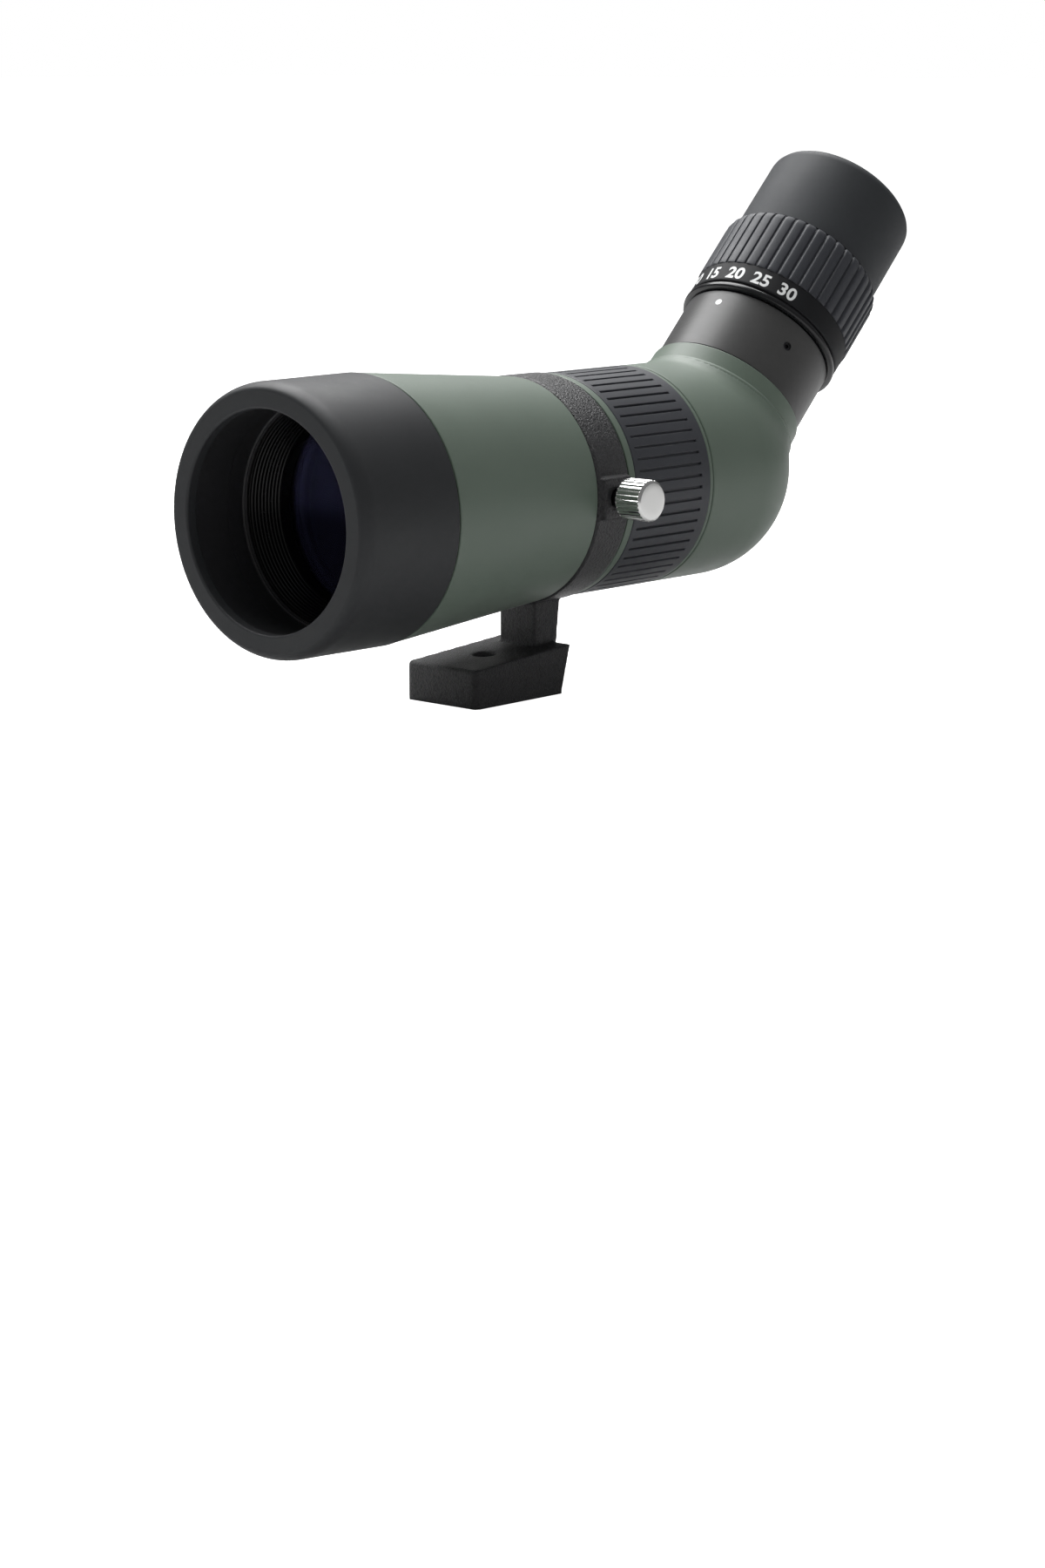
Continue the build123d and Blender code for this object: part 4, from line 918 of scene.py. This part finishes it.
class SCOPE_OT_eyecup(bpy.types.Operator):
    """Smooth rubber eyecup with a rolled rim, and the eye lens inside it"""
    bl_idname = "scope.eyecup"
    bl_label = "Eyecup"

    def execute(self, context):
        radius = CUP_RADIUS / MM
        wall = 1.35
        mouth = radius - 5.8
        corners = [
            (CUP_FOOT, radius - wall, 0), (CUP_FOOT, radius, 0.2), (CUP_FOOT + 8, radius, 0),
            (CUP_FOOT + 16, radius - 0.02, 0), (CUP_TOP, radius - 0.08, 3.1),
            (CUP_TOP, radius - 5.0, 0.7),
            (CUP_TOP - 1.7, mouth, 0.6), (CUP_LEDGE, mouth, 0.1), (CUP_LEDGE, radius - wall, 0)]
        turned_piece(
            "eyecup_rubber", corners, EYE, "eyecup", "eyecup_rubber", ("cup_rubber",),
            steps=224)
        glass = (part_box("eye_lens")[1][1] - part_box("eye_lens")[0][1]) / 2 / MM
        corners = dome_points(*EYE_GLASS_INNER, glass, 12) + dome_points(
            *EYE_GLASS_OUTER, glass, 14, False)
        turned_piece(
            "eye_glass", corners, EYE, "scope", "objective_glass", ("eye_lens",),
            steps=96)
        return {"FINISHED"}


class SCOPE_OT_kept_parts(bpy.types.Operator):
    """Finishes for the inner parts and small hardware that keep their own shape"""
    bl_idname = "scope.kept_parts"
    bl_label = "Inner parts"

    def execute(self, context):
        slots = {entry["node"]: entry["material_slot"] for entry in frame["record"]["subparts"]}
        special = {"grub_screws": "dark_steel", "clamp_screw": "dark_steel", "prism_cage": "lining_black",
                   "eye_tube": "black_plastic", "field_stop": "lining_black",
                   "front_baffle": "lining_black", "rear_baffle": "lining_black",
                   "objective_cell": "lining_black",
                   "neck_seal": "lining_black", "prism_clip": "steel"}
        for name, node in frame["nodes"].items():
            finish = special.get(name) or slots[name]
            node.data.materials.clear()
            node.data.materials.append(material(finish))
        return {"FINISHED"}


# ---------------------------------------------------------------- stage
CAMERA_AT = (-0.68431, -0.63036, 0.16763)
CAMERA_LOOK = (0.72758, 0.65567, -0.20180)
CAMERA_LENS = 80.77


class SCOPE_OT_stage(bpy.types.Operator):
    """Pale floor, soft studio light and the camera"""
    bl_idname = "scope.stage"
    bl_label = "Stage"

    def execute(self, context):
        scene = context.scene
        bm = bmesh.new()
        bmesh.ops.create_grid(bm, x_segments=2, y_segments=2, size=25.0)
        mesh = bpy.data.meshes.new("floor")
        bm.to_mesh(mesh)
        bm.free()
        floor = bpy.data.objects.new("floor", mesh)
        scene.collection.objects.link(floor)
        pale, tree, shader, coordinates = start_material("pale_floor")
        soft = noise_node(tree, coordinates, 3.0, 2.0)
        tree.links.new(
            two_tone(tree, soft, (0.6, 0.6, 0.6), (0.64, 0.64, 0.64)), shader.inputs["Base Color"])
        shader.inputs["Roughness"].default_value = 0.9
        shader.inputs["Specular IOR Level"].default_value = 0.1
        glow = tree.nodes.new("ShaderNodeLightPath")
        tree.links.new(
            two_tone(tree, glow.outputs["Is Camera Ray"], (0, 0, 0), (1.0, 1.0, 1.0)),
            shader.inputs["Emission Color"])
        shader.inputs["Emission Strength"].default_value = 1.0
        mesh.materials.append(pale)

        world = bpy.data.worlds.new("studio")
        scene.world = world
        world.use_nodes = True
        tree = world.node_tree
        back = tree.nodes["Background"]
        back.inputs["Color"].default_value = (1, 1, 1, 1)
        back.inputs["Strength"].default_value = 0.2
        seen = tree.nodes.new("ShaderNodeBackground")
        seen.inputs["Color"].default_value = (1, 1, 1, 1)
        seen.inputs["Strength"].default_value = 1.0
        mixer = tree.nodes.new("ShaderNodeMixShader")
        rays = tree.nodes.new("ShaderNodeLightPath")
        tree.links.new(rays.outputs["Is Camera Ray"], mixer.inputs["Fac"])
        tree.links.new(back.outputs[0], mixer.inputs[1])
        tree.links.new(seen.outputs[0], mixer.inputs[2])
        tree.links.new(mixer.outputs[0], tree.nodes["World Output"].inputs["Surface"])

        target = Vector((0.03, 0, AXIS_HEIGHT))
        self.softbox(scene, "overhead_box", (0.2, 0.5, 1.0), target, (1.2, 0.9), 24.0)
        self.softbox(scene, "left_box", (-0.9, 0.9, 0.5), target, (0.6, 0.6), 1.6)
        self.softbox(scene, "front_fill", (-0.3, -1.3, 0.6), target, (0.8, 0.5), 2.2)

        camera = bpy.data.cameras.new("camera")
        camera.sensor_width = 36.0
        camera.lens = CAMERA_LENS
        camera.clip_start = 0.05
        camera.clip_end = 100.0
        eye = bpy.data.objects.new("camera", camera)
        scene.collection.objects.link(eye)
        eye.location = CAMERA_AT
        look = Vector(CAMERA_LOOK)
        eye.rotation_euler = look.to_track_quat("-Z", "Y").to_euler()
        scene.camera = eye
        scene.view_settings.view_transform = "Standard"
        return {"FINISHED"}

    def softbox(self, scene, name, place, target, size, energy):
        light = bpy.data.lights.new(name, "AREA")
        light.shape = "RECTANGLE"
        light.size, light.size_y = size
        light.energy = energy
        lamp = bpy.data.objects.new(name, light)
        scene.collection.objects.link(lamp)
        lamp.location = place
        lamp.visible_glossy = name == "overhead_box"
        lamp.rotation_euler = (target - Vector(place)).to_track_quat("-Z", "Y").to_euler()


OPERATORS = (
    SCOPE_OT_hood, SCOPE_OT_objective, SCOPE_OT_main_tube, SCOPE_OT_mount_casting, SCOPE_OT_clamp_knob,
             SCOPE_OT_focus_ring, SCOPE_OT_prism_housing, SCOPE_OT_eyepiece_barrel, SCOPE_OT_zoom_ring,
             SCOPE_OT_eyecup, SCOPE_OT_kept_parts, SCOPE_OT_stage)


class SCOPE_PT_panel(bpy.types.Panel):
    """Lists the scope's pieces and what can be changed"""
    bl_idname = "SCOPE_PT_panel"
    bl_label = "Spotting scope"
    bl_space_type = "VIEW_3D"
    bl_region_type = "UI"
    bl_category = "Scope"

    def draw(self, context):
        for group in (context.scene.scope_sizes, context.scene.scope_finishes):
            box = self.layout.box()
            for name in group.__annotations__:
                box.prop(group, name)
        for operator in OPERATORS:
            self.layout.operator(operator.bl_idname)


CLASSES = (ScopeSizes, ScopeFinishes, *OPERATORS, SCOPE_PT_panel)


def register():
    for item in CLASSES:
        bpy.utils.register_class(item)
    bpy.types.Scene.scope_sizes = bpy.props.PointerProperty(type=ScopeSizes)
    bpy.types.Scene.scope_finishes = bpy.props.PointerProperty(type=ScopeFinishes)


def unregister():
    del bpy.types.Scene.scope_finishes
    del bpy.types.Scene.scope_sizes
    for item in reversed(CLASSES):
        bpy.utils.unregister_class(item)


def main():
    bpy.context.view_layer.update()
    register()
    for operator in OPERATORS:
        family, name = operator.bl_idname.split(".")
        if getattr(getattr(bpy.ops, family), name)() != {"FINISHED"}:
            raise RuntimeError(operator.bl_idname + " did not finish")


if __name__ == "__main__":
    main()
